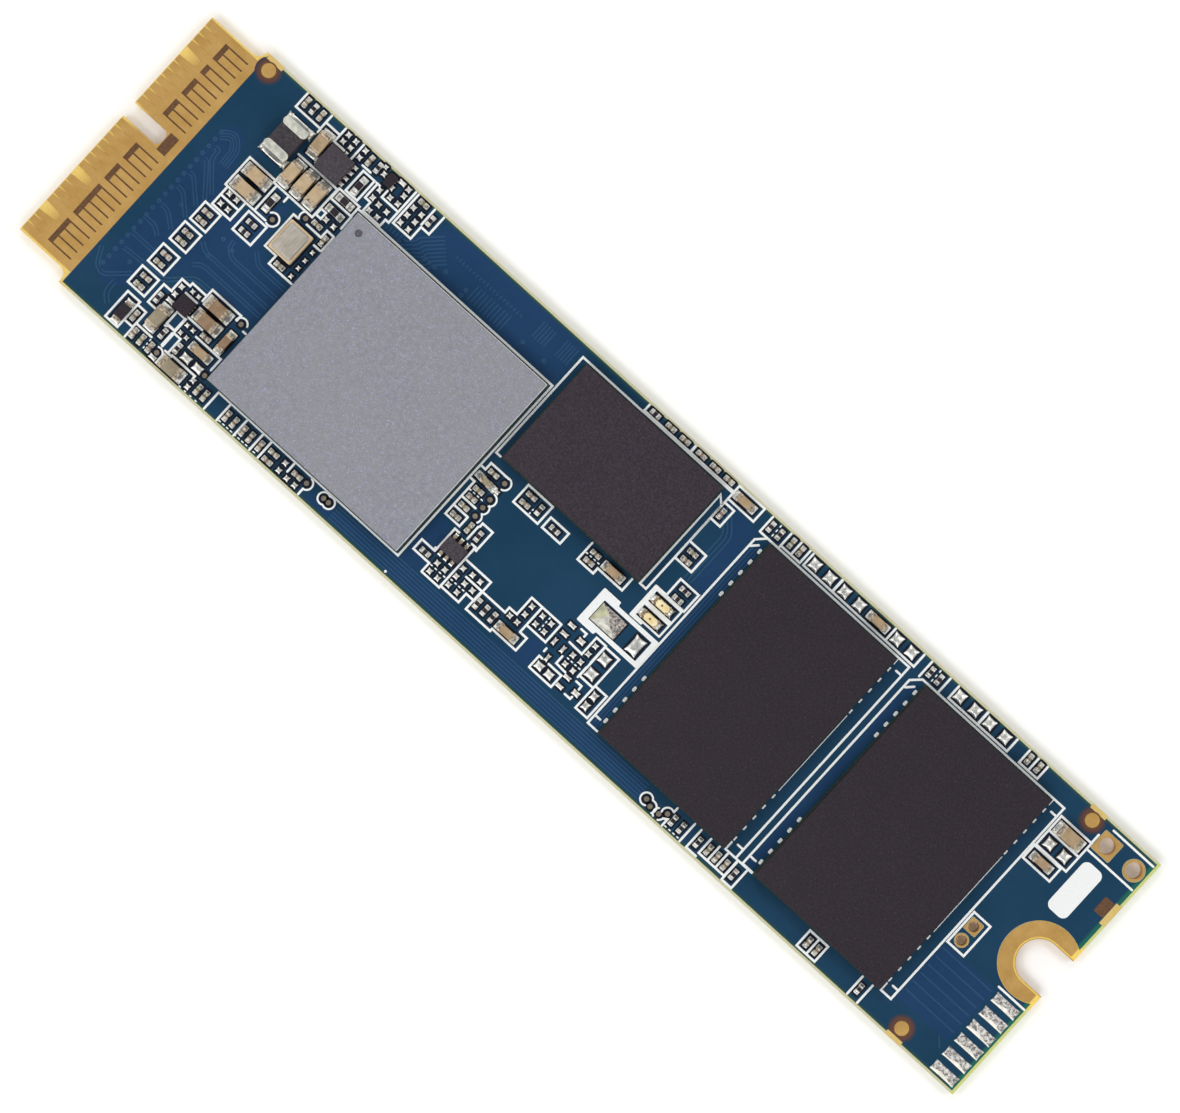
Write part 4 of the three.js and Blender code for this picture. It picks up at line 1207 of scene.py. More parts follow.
# Bare solder lands: centres by width and depth
LANDS = {
    (0.42, 0.42): [
        (-35.43, 1.75), (-34.75, 1.75), (-35.43, 0.83), (-34.75, 0.83), (-32.0, 10.42), (-31.3, 10.42),
        (-32.0, 9.82), (-31.3, 9.82), (-30.38, 10.4), (-30.38, 9.75), (-28.3, 10.05), (-26.3, 10.4),
        (-26.25, 9.85), (-26.2, 9.15), (-27.8, 9.02), (-27.8, 8.3), (-27.15, 8.2), (-26.4, 8.2),
        (-27.4, 7.48), (-26.65, 7.48), (-29.18, 4.95), (-28.45, 4.93), (-25.2, 9.7), (-24.45, 9.7),
        (-25.2, 9.02), (-24.45, 9.02), (-25.2, 8.32), (-24.45, 8.32), (-33.5, -5.35), (-33.5, -6.05),
        (-28.5, -9.68), (-28.5, -10.28), (-19.8, -9.6), (-19.8, -10.3), (-7.2, -7.62), (-6.48, -7.62),
        (-7.22, -8.4), (-6.48, -8.4), (-5.6, -6.68), (-5.6, -7.42), (-4.8, -6.58), (-4.08, -6.58),
        (-4.8, -7.4), (-4.08, -7.4), (-5.6, -8.22), (-4.8, -8.22), (-0.95, -6.93), (-0.25, -6.93),
        (-0.22, -5.4), (-0.22, -6.15), (0.78, -5.4), (0.78, -6.15), (1.6, -5.4), (1.6, -6.15),
        (4.95, -4.48), (4.95, -5.22), (4.2, -6.0), (4.93, -6.0), (4.2, -6.82), (4.93, -6.82), (-26.9, 9.12),
        (-27.3, 9.7), (-19.02, -10.34), (-18.28, -10.34),
    ],
    (0.34, 0.34): [
        (-32.7, -5.08), (-32.15, -5.08), (-31.4, -7.08), (-30.85, -7.08), (-31.42, -7.78), (-30.85, -7.78),
        (-28.32, 2.58), (-28.32, 1.82), (-28.32, 1.12), (-28.32, 0.36), (-28.55, 10.5), (-7.42, -1.13),
    ],
    (0.62, 0.34): [(-26.95, 10.45), (-33.45, -6.62), (-31.7, -10.38)],
    (0.38, 0.3): [(-30.08, y) for y in (9.02, 8.52, 8.02, 7.5)],
    (0.26, 0.26): [(-31.25, 9.36), (-32.4, 7.47), (-31.27, 7.08)],
    (0.82, 0.6): [(-29.9, -8.85), (-28.82, -8.84)],
    (0.85, 0.8): [(6.05, -4.75), (6.05, -6.12)],
    (0.56, 0.66): [(7.25, -7.15), (7.25, -8.05)],
    (0.68, 0.58): [(2.95, -8.15), (3.87, -8.15)],
    (0.82, 0.82): [(37.85, 6.72), (39.2, 6.72)],
    (0.84, 0.84): [(x, 10.12) for x in (12.5, 13.9, 15.3, 16.7, 20.28, 21.65, 26.25, 27.68, 29.05, 30.5)],
    (0.65, 0.32): [(2.75, -4.5), (2.75, -5.3), (4.95, -7.43), (4.95, -8.25)],
    (0.62, 0.42): [(3.97, -4.9), (6.15, -7.85)],
    (0.3, 0.62): [(2.58, -6.15), (3.4, -6.18), (3.0, -7.35)],
    (0.95, 1.45): [(7.02, -2.57)],
}  # fmt: skip
TEST_POINTS = [
    (-31.97, 2.42), (-30.3, 4.05), (-28.65, -4.5), (-28.12, -8.87), (-31.7, -9.95), (-17.75, -9.65),
    (-16.15, -9.62), (-15.7, -9.62), (-7.45, -0.32), (-7.45, -1.85), (-7.45, -2.6), (-7.45, -3.4),
    (14.8, -9.98), (15.34, -10.21), (16.14, -10.19), (16.6, -9.77),
]  # fmt: skip
TEST_BED_RADIUS = 0.36
FIDUCIALS = [(-39.2, 9.98), (38.95, 9.95), (38.88, -9.85)]
FIDUCIAL_RADIUS = 0.52
FIDUCIAL_BARE = (0.64, BED_RISE)  # the bare ring's radius and rise
FIDUCIAL_RINGS = [(0.84, 0.003, 1), (1.0, 0.002, 3)]  # brown, then fading lacquer: radius, rise and finish
FIDUCIAL_LIMIT_Y = LACQUER_SIDE_Y - 0.16
# Golden strips of laminate at the long edges: X from and to, and which edge
GOLDEN_STRIPS = [(-39.9, -38.5, 1), (38.2, 39.6, 1), (38.2, 39.6, -1)]
GOLDEN_INSET = 0.02
BROWN_PATCH = (43.68, 6.0, 0.86, 1.3)  # centre, width and depth
SERVICE_LANDS = 6

# How far each dark bed reaches past its part; the wide margin spreads painted shade round it
OPENING_MARGIN = 0.13
OPENING_UNEVEN = 0.005
# The dark beds where the lacquer stops, all near black with painted shade
openings = Solid()  # filled by each maker below, and made into one piece at the end


def open_lacquer_with_painted_shade(x, y, width, depth, turn=0):
    """A dark bed under a part, where the lacquer stops, made near black with painted shade. Their heights
    differ a hair, so that no two tops share a plane.
    """
    if turn == ALONG_Y:
        width, depth = depth, width
    outline = rounded(x, y, width + 2 * OPENING_MARGIN, depth + 2 * OPENING_MARGIN, 0.1)
    openings.plate([outline], TOP, TOP + OPENING_RISE + shuffle.uniform(0, OPENING_UNEVEN))


def fillet_of_solder(solid, start, toe, width, height, finish):
    """Solder that falls in a hollow curve from an end cap to the end of its land, towards larger X."""
    stations, across = 8, 8
    rings = []
    for station in range(stations):
        t = station / (stations - 1)
        x = start + toe * t
        crown = LAND_RISE * 0.6 + height * (1 - t) ** 2.1
        half = width / 2 * (1 - 0.14 * math.sin(math.pi * t))
        ring = [(x, -half, TOP), (x, half, TOP)]
        for step in range(across + 1):
            v = 1 - 2 * step / across
            ring.append((x, half * v, TOP + 0.012 + crown * (1 - abs(v) ** 2.6)))
        rings.append(ring)
    solid.stack(rings, finish)


def mirrored_x(solid):
    """The same solid seen in the mirror of the YZ plane."""
    other = Solid()
    other.points = [(-x, y, z) for x, y, z in solid.points]
    other.faces = [face[::-1] for face in solid.faces]
    other.finishes = list(solid.finishes)
    return other


def chip_part(kind, length, width, height, cap, toe):
    """A chip capacitor or resistor lying along X: finish 0 is its body, 1 its top, 2 its caps, 3 solder."""
    lip = 0.02
    base = TOP + LAND_RISE
    solid = Solid()
    inner = length - cap
    if kind == "capacitor":
        solid.block(0, 0, inner, width - lip, base, base + height - lip, 0.04, 0.05, 0)
    else:  # a resistor has a dark glaze on top
        solid.block(0, 0, inner, width - lip, base, base + height - 2 * lip, 0.02, 0.01, 0)
        top_low = base + height - 2 * lip
        solid.block(0, 0, length - 2 * cap + 0.06, width - 2 * lip, top_low, top_low + 0.03, 0.03, 0.015, 1)
    end = Solid()
    round_edge = min(0.09, cap / 2.6)
    end.block(length / 2 - cap / 2, 0, cap, width, base - 0.005, base + height - 0.004, 0.06, round_edge, 2)
    end.block(length / 2 - cap + 0.04, 0, 0.08, width + 0.01, base, base + height, 0.03, 0.03, 2)
    end.block(length / 2 + (toe - cap) / 2, 0, cap + toe, width + 0.05, TOP, base, 0.04, 0.015, 3)
    fillet_of_solder(end, length / 2 - 0.02, toe, width * 0.96, height * 0.72, 3)
    solid.merge(end)
    solid.merge(mirrored_x(end))
    return solid


def place_chip_part(name, kind, x, y, turn, size, body, replaces=(), caps=TIN):
    solid = Solid()
    solid.merge(chip_part(kind, **size), x, y, turn)
    bed_length = size["length"] + 2 * size["toe"] + (0.08 if size["length"] < 0.7 else 0.0)
    open_lacquer_with_painted_shade(x, y, bed_length, size["width"] + 0.03, ALONG_Y if 45 < turn < 135 else ALONG_X)
    make_piece(name, solid, [body, MOULD, caps, SOLDER], replaces)


def make_smallest_parts():
    for (kind, turn), spots in SMALLEST.items():
        way = "x" if turn == ALONG_X else "y"
        for number, (x, y) in enumerate(spots, 1):
            body = shuffle.choice(SMALL_CERAMICS) if kind == "capacitor" else RESISTOR_BODY
            crooked = turn + shuffle.uniform(-1.5, 1.5)
            name = f"small_{kind}_{way}{number:02d}"
            caps = DULL_TIN if kind == "capacitor" else SOLDER
            place_chip_part(name, kind, x, y, crooked, SMALLEST_SIZE[kind], body, caps=caps)
    for number, (kind, x, y, turn) in enumerate(MEDIUM, 1):
        body, caps = (CERAMICS["grey"], TIN) if kind == "capacitor" else (RESISTOR_BODY, SOLDER)
        place_chip_part(f"medium_{kind}_{number}", kind, x, y, turn, MEDIUM_SIZE[kind], body, caps=caps)


# The capacitor beside the inductor sits askew, so its box is too large, and it takes another's size
CROOKED, CROOKED_TURN, CROOKED_SIZE_FROM = 1, 93, "capacitor_02"
CAPACITOR_COUNT = 18
CAPACITOR_TONES = {"sand": (2, 3, 4, 5, 6), "brown": (7, 8, 11), "grey": (9, 10)}  # the others are tan


def make_capacitors():
    tones = {number: tone for tone, numbers in CAPACITOR_TONES.items() for number in numbers}
    for number in range(1, CAPACITOR_COUNT + 1):
        node = f"capacitor_{number:02d}"
        measured = CROOKED_SIZE_FROM if number == CROOKED else node
        x, y, _, _ = footprint(node)
        _, _, *sides = footprint(measured)
        turn = ALONG_Y if sides[1] > sides[0] else ALONG_X
        length, width = max(sides), min(sides)
        height = cad(measured)[1][2] - TOP - LAND_RISE
        toe = 0.3 if width > 0.7 else 0.24
        size = {"length": length, "width": width, "height": height, "cap": 0.2 * length, "toe": toe}
        body = CERAMICS[tones.get(number, "tan")]
        turn = CROOKED_TURN if number == CROOKED else turn
        place_chip_part(node + "_part", "capacitor", x, y, turn, size, body, [node])


def make_bare_lands():
    lands = Solid()
    for (width, depth), spots in LANDS.items():
        for x, y in spots:
            open_lacquer_with_painted_shade(x, y, width, depth)
            rise = 0.14 * min(width, depth, 0.9)
            waist = 0.2 if width < 0.6 else 0.12
            cells = 14 if width > 0.6 else 10
            lands.pillow(x, y, width, depth, TOP, rise, waist, cells)
    make_piece("bare_solder_lands", lands, [SOLDER], crease=180)
    make_big_land()


# The biggest land's solder, crumpled into flat faces: X, Y and height over the card
BIG_LAND_CORNERS = [(3.32, -3.3), (5.55, -3.3), (5.55, -1.82), (3.32, -1.82)]
BIG_LAND_PEAKS = [(3.7, -3.0, 0.1), (4.2, -2.2, 0.24), (4.85, -2.3, 0.14), (4.7, -2.75, 0.2)]
BIG_LAND_PEAKS += [(5.15, -3.0, 0.08)]
BIG_LAND_FOOT = 0.03
BIG_LAND_BED = (4.43, -2.57, 2.25, 1.45)
# Its faces by finish, which paint light and shade on the facets: 0 is cream and 1 is pale, both painted
# light, and 2 is crumpled, painted shade. Points 0 to 3 are the corners on the card, 4 to 7 the corners on
# the foot, and 8 to 12 the peaks.
BIG_LAND_FACES = [
    (2, [[3, 2, 1, 0], [0, 1, 5, 4], [1, 2, 6, 5], [2, 3, 7, 6], [3, 0, 4, 7]]),
    (0, [[7, 4, 8], [7, 8, 9]]),
    (1, [[4, 11, 8], [8, 11, 9], [4, 5, 12], [4, 12, 11]]),
    (2, [[11, 12, 10], [9, 11, 10], [7, 9, 6], [9, 10, 6], [10, 12, 6], [12, 5, 6]]),
]


def make_big_land():
    solid = Solid()
    for rise in (0, BIG_LAND_FOOT):
        solid.points += [(x, y, TOP + rise) for x, y in BIG_LAND_CORNERS]
    solid.points += [(x, y, TOP + rise) for x, y, rise in BIG_LAND_PEAKS]
    for finish, faces in BIG_LAND_FACES:
        solid.faces += faces
        solid.finishes += [finish] * len(faces)
    # The finishes paint light and shade onto the facets
    make_piece("big_land_solder", solid, [CREAM_FACET_PAINTED_LIGHT, PALE_FACET_PAINTED_LIGHT, CRUMPLED_FACET_PAINTED_SHADE], crease=8)
    open_lacquer_with_painted_shade(*BIG_LAND_BED)


def brow_at(u, swell):
    """Where a service land's flat top ends, highest near the middle of the land."""
    bulge = (0.5 + 0.2 * swell) * math.exp(-(((u + 0.1 + swell) / 0.5) ** 2))
    return -0.74 + bulge + 0.06 * math.sin(5 * u)


def make_service_lands():
    for number in range(1, SERVICE_LANDS + 1):
        node = f"service_land_{number}"
        x, y, width, depth = footprint(node)
        rise = cad(node)[1][2] - TOP - 0.02
        swell = shuffle.uniform(-0.3, 0.3)

        def height(u, v, rise=rise, swell=swell):
            """Flat on top, with a slope along the side of smaller Y."""
            brow = brow_at(u, swell)
            slope = 1 - 0.75 * max(0, (brow - v) / (1 + brow)) ** 1.3
            ends = (1 - abs(u) ** 9) * (1 - max(v, 0) ** 9)
            return TOP + 0.014 + rise * slope * ends * (1 + shuffle.uniform(-0.1, 0.1))

        solid = Solid()
        solid.cushion(x, y, width, depth, TOP, height, 0.05, 28)
        # The slope on the side of smaller Y takes the white finish, a painted highlight
        for index, face in enumerate(solid.faces):
            middle = [sum(solid.points[i][axis] for i in face) / len(face) for axis in (0, 1)]
            u, v = (middle[0] - x) / (width / 2), (middle[1] - y) / (depth / 2)
            if v < brow_at(u, swell):
                solid.finishes[index] = 1
        make_piece(node + "_solder", solid, [SPECKLED, WHITE_TIN_PAINTED_HIGHLIGHT], [node], crease=180)


def make_test_points():
    solid = Solid()
    dome = [(0.19, TOP), (0.19, TOP + 0.02), (0.15, TOP + 0.045), (0.08, TOP + 0.03), (0.03, TOP + 0.022)]
    for x, y in TEST_POINTS:
        # A dark bed with painted shade round each test point
        openings.lathe(x, y, [(TEST_BED_RADIUS, TOP), (TEST_BED_RADIUS, TOP + OPENING_RISE)], 24)
        solid.lathe(x, y, dome, 20)
    make_piece("test_points", solid, [TEST_METAL])


def make_fiducials():
    gold = Solid()
    bed = Solid()
    bare, bare_rise = FIDUCIAL_BARE
    dot = [(FIDUCIAL_RADIUS, TOP), (FIDUCIAL_RADIUS, TOP + 0.02), (FIDUCIAL_RADIUS - 0.02, TOP + 0.024)]
    for x, y in FIDUCIALS:
        bed.lathe(x, y, [(bare, TOP), (bare, TOP + bare_rise)], 40, 0)
        for radius, rise, finish in FIDUCIAL_RINGS:
            ring = circle(x, y, radius)
            clipped = [(px, max(-FIDUCIAL_LIMIT_Y, min(FIDUCIAL_LIMIT_Y, py))) for px, py in ring]
            bed.plate([clipped], TOP, TOP + rise, finish)
        gold.lathe(x, y, dot, 40)
    for x0, x1, side in GOLDEN_STRIPS:
        y0, y1 = sorted((side * FIDUCIAL_LIMIT_Y, side * (SIDE_Y - GOLDEN_INSET)))
        bed.plate([rectangle(x0, x1, y0, y1)], LAMINATE_HIGH, TOP + 0.001, 2)
    bed.plate([rectangle(44.14, TAIL_X - GOLDEN_INSET, 4.95, 6.8)], LAMINATE_HIGH, TOP + 0.003, 2)
    bed.plate([rounded(*BROWN_PATCH, 0.12)], TOP, TOP + BED_RISE)
    make_piece("fiducial_gold", gold, [GOLD])
    make_piece("fiducial_beds", bed, [BARE_GAP, LACQUER_BED, GOLDEN, LACQUER_FADE])


make_smallest_parts()
make_capacitors()
make_bare_lands()
make_service_lands()
make_test_points()
make_fiducials()


# ------------------------------------------------------------------------------------------------
# Chips, resonator, inductor and lights
# ------------------------------------------------------------------------------------------------

BALL_GRIDS = {"controller": 0.8, "memory": 0.8, "flash_1": 1.0, "flash_2": 1.0}  # pitch
PACKAGE_FINISHES = {"memory": MOULD_WARM, "flash_1": MOULD, "flash_2": MOULD}


def make_ball_grids():
    """Solder balls under each package, squeezed between the card and the carrier."""
    barrel = ((0.7, 0), (0.95, 0.25), (1, 0.5), (0.95, 0.75), (0.7, 1))  # shares of the radius and height
    for package, pitch in BALL_GRIDS.items():
        node = package + "_solder_balls"
        low, high = cad(node)
        middle_x, middle_y, width, depth = footprint(node)
        radius, tall = 0.3 * pitch, high[2] - low[2]
        columns, rows = int(width / pitch), int(depth / pitch)
        profile = [(radius * share, low[2] + tall * level) for share, level in barrel]
        solid = Solid()
        for column in range(columns):
            for row in range(rows):
                x = middle_x + (column - (columns - 1) / 2) * pitch
                y = middle_y + (row - (rows - 1) / 2) * pitch
                solid.lathe(x, y, profile, 10)
        make_piece(node + "_grid", solid, [TIN], [node])


def make_package_bodies():
    for package in BALL_GRIDS:
        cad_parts[package + "_carrier"].material_slots[0].material = CARRIER
    for package, finish in PACKAGE_FINISHES.items():
        node = package + "_body"
        low, high = cad(node)
        solid = Solid()
        solid.block(*footprint(node), low[2], high[2], 0.05, 0.05)
        make_piece(node + "_mould", solid, [finish], [node])


def make_controller():
    """Grey body with a sawn edge on two sides, made bright with a painted highlight, and a dimple over its
    first pin.
    """
    node = "controller_body"
    low, high = cad(node)
    x, y, width, depth = footprint(node)
    ledge, step, edge = 0.06, 0.06, 0.02
    dimple_x, dimple_y, dimple = -26.7, 5.75, 0.27
    top_z = high[2]
    solid = Solid()
    # The lower block's sides, and the ledge that it shows on two sides, take the painted highlight
    solid.block(x, y, width, depth, low[2], top_z - step, 0.04, 0.02, 2)
    outline = rounded(x - ledge / 2, y - ledge / 2, width - ledge, depth - ledge, 0.04)
    hole = circle(dimple_x, dimple_y, dimple, 32)
    solid.plate([outline, hole], top_z - step, top_z - edge)
    solid.plate([offset_loop(outline, -edge), hole], top_z - edge, top_z)
    floor_z = top_z - 0.04
    bowl = [(dimple, top_z - step), (dimple, top_z - 0.03), (dimple * 0.8, floor_z), (0.02, floor_z)]
    solid.lathe(dimple_x, dimple_y, bowl, 32, 1)
    make_piece(node + "_mould", solid, [GREY, GREY_DIMPLE, GREY_EDGE_PAINTED_HIGHLIGHT], [node])


SMALL_CHIPS = {
    "voltage_regulator": MOULD_PALE,
    "power_switch": MOULD,
    "logic_gate": MOULD_PALE,
    "protection_diode": MOULD,
    "reset_chip": MOULD,
}
LEG_XS = (-7.5, -6.97, -6.44)
LEG_HALF_WIDTH, LEG_HALF_HEIGHT = 0.11, 0.04


def make_small_chips():
    for node, finish in SMALL_CHIPS.items():
        x, y, width, depth = footprint(node)
        top_z = cad(node)[1][2]
        solid = Solid()
        solid.block(x, y, width, depth, TOP + LAND_RISE, top_z, 0.05, 0.06)
        mark = [(0.06, top_z - 0.01), (0.06, top_z + 0.0005)]
        solid.lathe(x - width / 2 + 0.2, y + depth / 2 - 0.2, mark, 16)
        if node == "logic_gate":
            add_legs(solid, LEG_XS, y, depth / 2, top_z)
            open_lacquer_with_painted_shade(x, y, width, depth + 0.7)
        elif node == "protection_diode":
            add_diode_ends(solid, x, y, width, depth)
            open_lacquer_with_painted_shade(x, y, width, depth + 1.0)
        else:
            add_bottom_lands(solid, x, y, width, depth)
            open_lacquer_with_painted_shade(x, y, width, depth)
        make_piece(node + "_chip", solid, [finish, TIN, SOLDER], [node])


def add_legs(solid, leg_xs, y, half_depth, top_z):
    """Gull-wing legs on both long sides of a small package."""
    knee = TOP + 0.4 * (top_z - TOP)
    for x in leg_xs:
        left, right = x - LEG_HALF_WIDTH, x + LEG_HALF_WIDTH
        for side in (-1, 1):
            start = y + side * (half_depth - 0.03)
            path = [(start, knee), (start + side * 0.12, knee)]
            path += [(start + side * 0.2, TOP + 0.06), (start + side * 0.36, TOP + 0.05)]
            rings = []
            for py, pz in path:
                low, high = pz - LEG_HALF_HEIGHT, pz + LEG_HALF_HEIGHT
                ring = [(left, py, low), (right, py, low), (right, py, high), (left, py, high)]
                rings.append(ring if side < 0 else ring[::-1])
            solid.stack(rings, 1)
            solid.pillow(x, start + side * 0.3, 0.3, 0.34, TOP, 0.04, finish=2, cells=4)


def add_diode_ends(solid, x, y, width, depth):
    """A flat tab and its solder at both ends of the diode."""
    for side in (-1, 1):
        solid.block(x, y + side * (depth / 2 + 0.1), width * 0.7, 0.3, TOP, TOP + 0.16, 0.04, 0.03, 1)
        solid.pillow(x, y + side * (depth / 2 + 0.27), width, 0.4, TOP, 0.06, finish=2)


def add_bottom_lands(solid, x, y, width, depth):
    """Lands that peep out under a leadless package, four to a side."""
    high = TOP + LAND_RISE + 0.04
    for number in range(4):
        shift = (number - 1.5) * 0.22 * depth
        for side in (-1, 1):
            solid.block(x + side * width / 2, y + shift, 0.1, 0.1 * depth, TOP, high, 0.01, 0.01, 1)


def make_resonator():
    low, high = cad("crystal_base")
    x, y, width, depth = footprint("crystal_base")
    base = Solid()
    base.block(x, y, width, depth, low[2], high[2] - 0.04, 0.12, 0.03)
    base.block(x, y, width - 0.04, depth - 0.04, high[2] - 0.04, high[2], 0.14, 0.03, 1)
    make_piece("crystal_base_ceramic", base, [PORCELAIN, RIM], ["crystal_base"])
    lid_low, lid_high = cad("crystal_lid")
    _, _, lid_width, lid_depth = footprint("crystal_lid")
    lid = Solid()
    lid.block(x, y, lid_width + 0.1, lid_depth + 0.1, lid_low[2], lid_low[2] + 0.06, 0.2, 0.03)
    lid.block(x, y, lid_width - 0.04, lid_depth - 0.04, lid_low[2] + 0.06, lid_high[2], 0.22, 0.07)
    make_piece("crystal_lid_metal", lid, [LID], ["crystal_lid"])
    # Dark beds with painted shade under the resonator and at its four corners
    open_lacquer_with_painted_shade(x, y, width + 0.1, depth + 0.1)
    for side_x in (-1, 1):
        for side_y in (-1, 1):
            corner = (x + side_x * (width / 2 - 0.2), y + side_y * (depth / 2 - 0.25))
            openings.plate([rounded(*corner, 0.7, 0.8, 0.05)], TOP, TOP + OPENING_RISE)


def make_inductor():
    low, high = cad("inductor_core")
    x, y, width, depth = footprint("inductor_core")
    inner_reach = 0.68  # from the middle to where a terminal's top starts
    core = Solid()
    core.block(x, y, width - 0.02, depth, low[2], high[2] - 0.06, 0.08, 0.05)
    make_piece("inductor_core_ferrite", core, [FERRITE], ["inductor_core"])
    for end, side in (("high", 1), ("low", -1)):
        node = "inductor_terminal_" + end
        end_low, end_high = cad(node)
        outer_y = end_high[1] if side > 0 else end_low[1]
        inner_y = y + side * inner_reach
        middle, reach = (outer_y + inner_y) / 2, abs(outer_y - inner_y)
        solid = Solid()
        solid.block(x, middle, width + 0.1, reach - 0.04, high[2] - 0.2, end_high[2], 0.33, 0.06, 0, 7)
        solid.block(x, outer_y - side * 0.16, width + 0.04, 0.32, TOP, end_high[2] - 0.07, 0.08, 0.08, 0)
        toe = Solid()
        fillet_of_solder(toe, 0, 0.34, width + 0.34, 0.75, 1)
        solid.merge(toe, x, outer_y - side * 0.03, 90 * side)
        for corner in (-1, 1):
            spot = (x + corner * (width / 2 + 0.05), outer_y - side * 0.02)
            solid.pillow(*spot, 0.36, 0.78, TOP, 0.2, 0.1, 8, 1)
        open_lacquer_with_painted_shade(x, outer_y + side * 0.02, width + 0.2, 0.5)
        make_piece(node + "_metal", solid, [TERMINAL, SOLDER], [node])


LIGHT_WIDTH = 0.62
LENS_CORNERS = [(-0.52, -0.14), (-0.36, -0.3), (0.42, -0.3), (0.64, -0.13)]  # the half of smaller Y


def make_lights():
    shape = LENS_CORNERS + [(px, -py) for px, py in LENS_CORNERS[::-1]]
    outline = softened(shape, 0.06, 3)
    base = TOP + LAND_RISE
    for number in (1, 2):
        node = f"indicator_light_{number}"
        x, y, length, _ = footprint(node)
        top_z = cad(node)[1][2]
        solid = Solid()
        solid.block(x, y, length - 0.2, LIGHT_WIDTH, base, base + 0.16, 0.04, 0.02, 0)
        for side in (-1, 1):
            cap_x, solder_x = x + side * (length / 2 - 0.14), x + side * (length / 2 - 0.02)
            solid.block(cap_x, y, 0.28, LIGHT_WIDTH, base - 0.01, base + 0.2, 0.04, 0.03, 2)
            solid.pillow(solder_x, y, 0.46, LIGHT_WIDTH + 0.1, TOP, 0.3, 0.2, finish=3)
        rings = []
        for z, inset in ((base + 0.12, 0.0), (top_z - 0.06, 0.02), (top_z - 0.015, 0.05), (top_z, 0.1)):
            loop = offset_loop(outline, -inset)
            rings.append([(x + 0.02 + px, y + py, z) for px, py in loop])
        solid.stack(rings, 1)
        solid.block(x, y, 0.16, 0.16, top_z - 0.004, top_z + 0.002, 0.03, 0.001, 4)
        for side in (-1, 1):
            solid.block(x - 0.44, y + side * 0.24, 0.14, 0.12, base + 0.1, top_z - 0.05, 0.03, 0.02, 4)
        open_lacquer_with_painted_shade(x, y, length + 0.36, LIGHT_WIDTH + 0.08)
        make_piece(node + "_lamp", solid, [PORCELAIN, LENS, TIN, SOLDER, DIE], [node])


make_ball_grids()
make_package_bodies()
make_controller()
make_small_chips()
make_resonator()
make_inductor()
make_lights()
# All the dark beds, with their painted shade, made into one piece
make_piece("bare_beds_with_painted_shade", openings, [OPENING_AND_PAINTED_SHADE])


# ------------------------------------------------------------------------------------------------
# Studio
# ------------------------------------------------------------------------------------------------

VIEW_CENTRE = (0.42, -0.07)
VIEW_TURN = 42.29  # degrees, from the card's X to the picture's
VIEW_WIDTH = 82.8  # of the card's surface across the picture
CAMERA_HEIGHT = 240.0
SENSOR = 36.0
SOFTBOXES = [(45, 0.35), (135, 0.37), (225, 0.39), (270, 0.39), (315, 0.37)]  # azimuth and strength
SOFTBOX_ELEVATION, SOFTBOX_DISTANCE, SOFTBOX_SIZE = 50, 0.5, 0.2  # degrees, then metres
FLOOR_HALF_SIDE, FLOOR_LOW, FLOOR_HIGH = 3000.0, -5.0, -0.02


def make_camera():
    data = bpy.data.cameras.new("camera")
    data.sensor_width = SENSOR
    data.sensor_fit = "HORIZONTAL"
    data.lens = SENSOR * CAMERA_HEIGHT / VIEW_WIDTH
    data.clip_start = 0.001
    data.clip_end = 20
    camera = bpy.data.objects.new("camera", data)
    camera.location = (VIEW_CENTRE[0] * MM, VIEW_CENTRE[1] * MM, (CAMERA_HEIGHT + TOP) * MM)
    camera.rotation_euler = (0, 0, math.radians(VIEW_TURN))
    bpy.context.scene.collection.objects.link(camera)
    bpy.context.scene.camera = camera


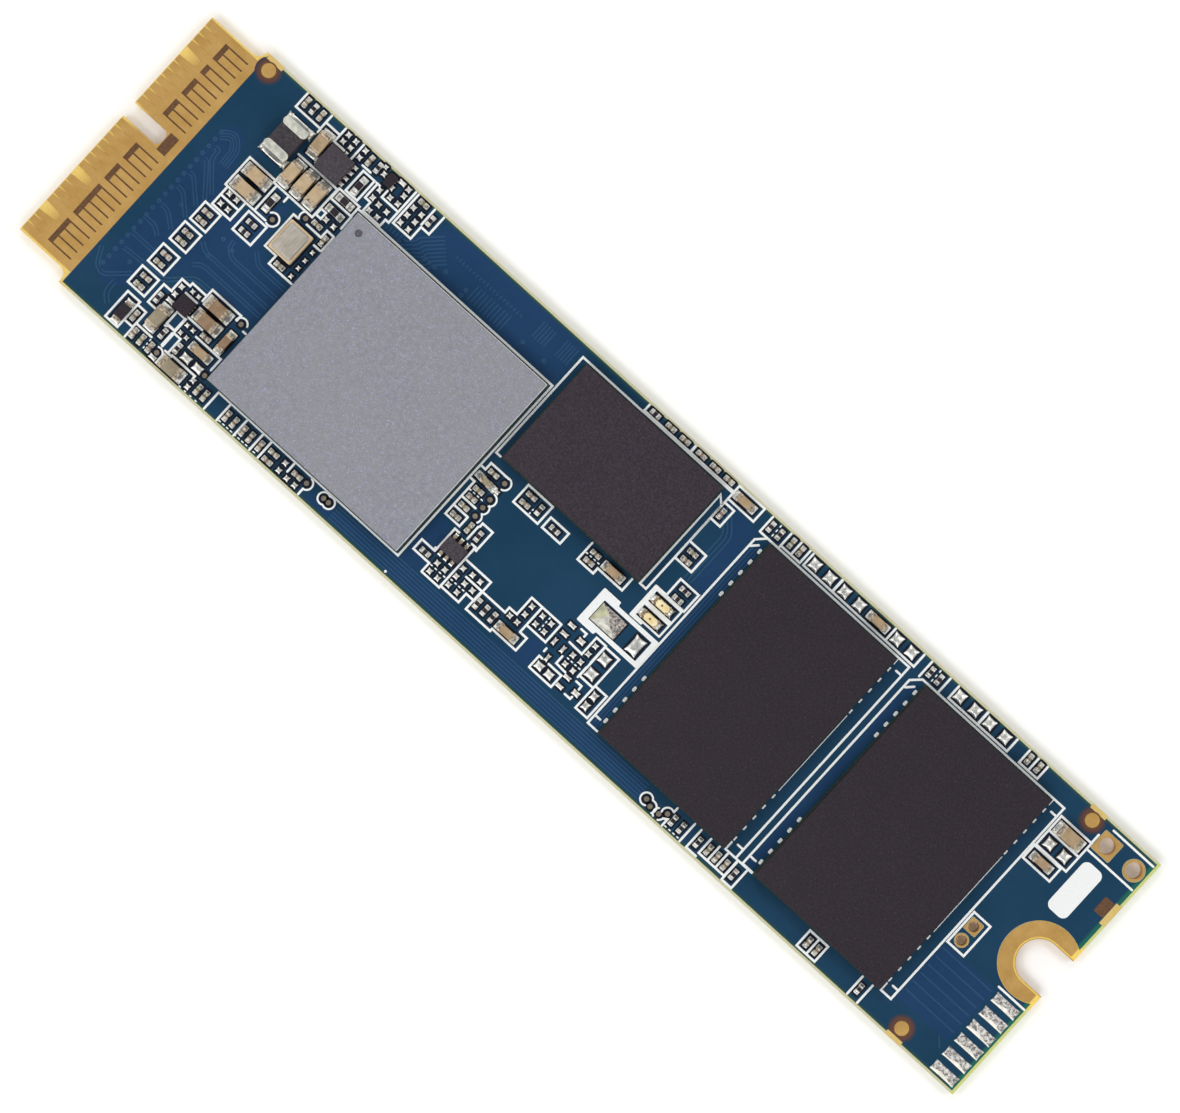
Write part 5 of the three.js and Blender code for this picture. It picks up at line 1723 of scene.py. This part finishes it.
def make_softbox(name, azimuth, strength):
    """A square lamp that faces the card, seen from it at that azimuth in degrees."""
    data = bpy.data.lights.new(name, "AREA")
    data.shape = "SQUARE"
    data.size = SOFTBOX_SIZE
    data.energy = strength
    lamp = bpy.data.objects.new(name, data)
    azimuth, elevation = math.radians(azimuth), math.radians(SOFTBOX_ELEVATION)
    level = math.cos(elevation)
    way = Vector((math.cos(azimuth) * level, math.sin(azimuth) * level, math.sin(elevation)))
    lamp.location = way * SOFTBOX_DISTANCE
    lamp.rotation_euler = way.to_track_quat("Z", "Y").to_euler()
    bpy.context.scene.collection.objects.link(lamp)


def make_world():
    """Soft light from all round, paler towards the horizon than overhead."""
    world = bpy.data.worlds.new("studio")
    bpy.context.scene.world = world
    world.use_nodes = True
    nodes, links = world.node_tree.nodes, world.node_tree.links
    place = nodes.new("ShaderNodeTexCoord")
    split = nodes.new("ShaderNodeSeparateXYZ")
    ramp = nodes.new("ShaderNodeMapRange")
    links.new(place.outputs["Generated"], split.inputs["Vector"])
    links.new(split.outputs["Z"], ramp.inputs["Value"])
    ramp.inputs["From Min"].default_value = 0.1
    ramp.inputs["From Max"].default_value = 0.9
    ramp.inputs["To Min"].default_value = 1.0
    ramp.inputs["To Max"].default_value = 0.32
    background = nodes["Background"]
    background.inputs["Color"].default_value = (1, 1, 1, 1)
    links.new(ramp.outputs["Result"], background.inputs["Strength"])


def make_floor():
    """A plain floor just under the card, so that the two don't share a plane."""
    half = FLOOR_HALF_SIDE
    solid = Solid()
    solid.plate([rectangle(-half, half, -half, half)], FLOOR_LOW, FLOOR_HIGH)
    mesh = bpy.data.meshes.new("floor")
    mesh.from_pydata([(x * MM, y * MM, z * MM) for x, y, z in solid.points], [], solid.faces)
    mesh.materials.append(FLOOR)
    floor = bpy.data.objects.new("floor", mesh)
    bpy.context.scene.collection.objects.link(floor)


make_camera()
for number, (azimuth, strength) in enumerate(SOFTBOXES, 1):
    make_softbox(f"softbox_{number}", azimuth, strength)
make_world()
make_floor()
bpy.context.scene.view_settings.view_transform = "Standard"
bpy.context.scene.view_settings.look = "None"
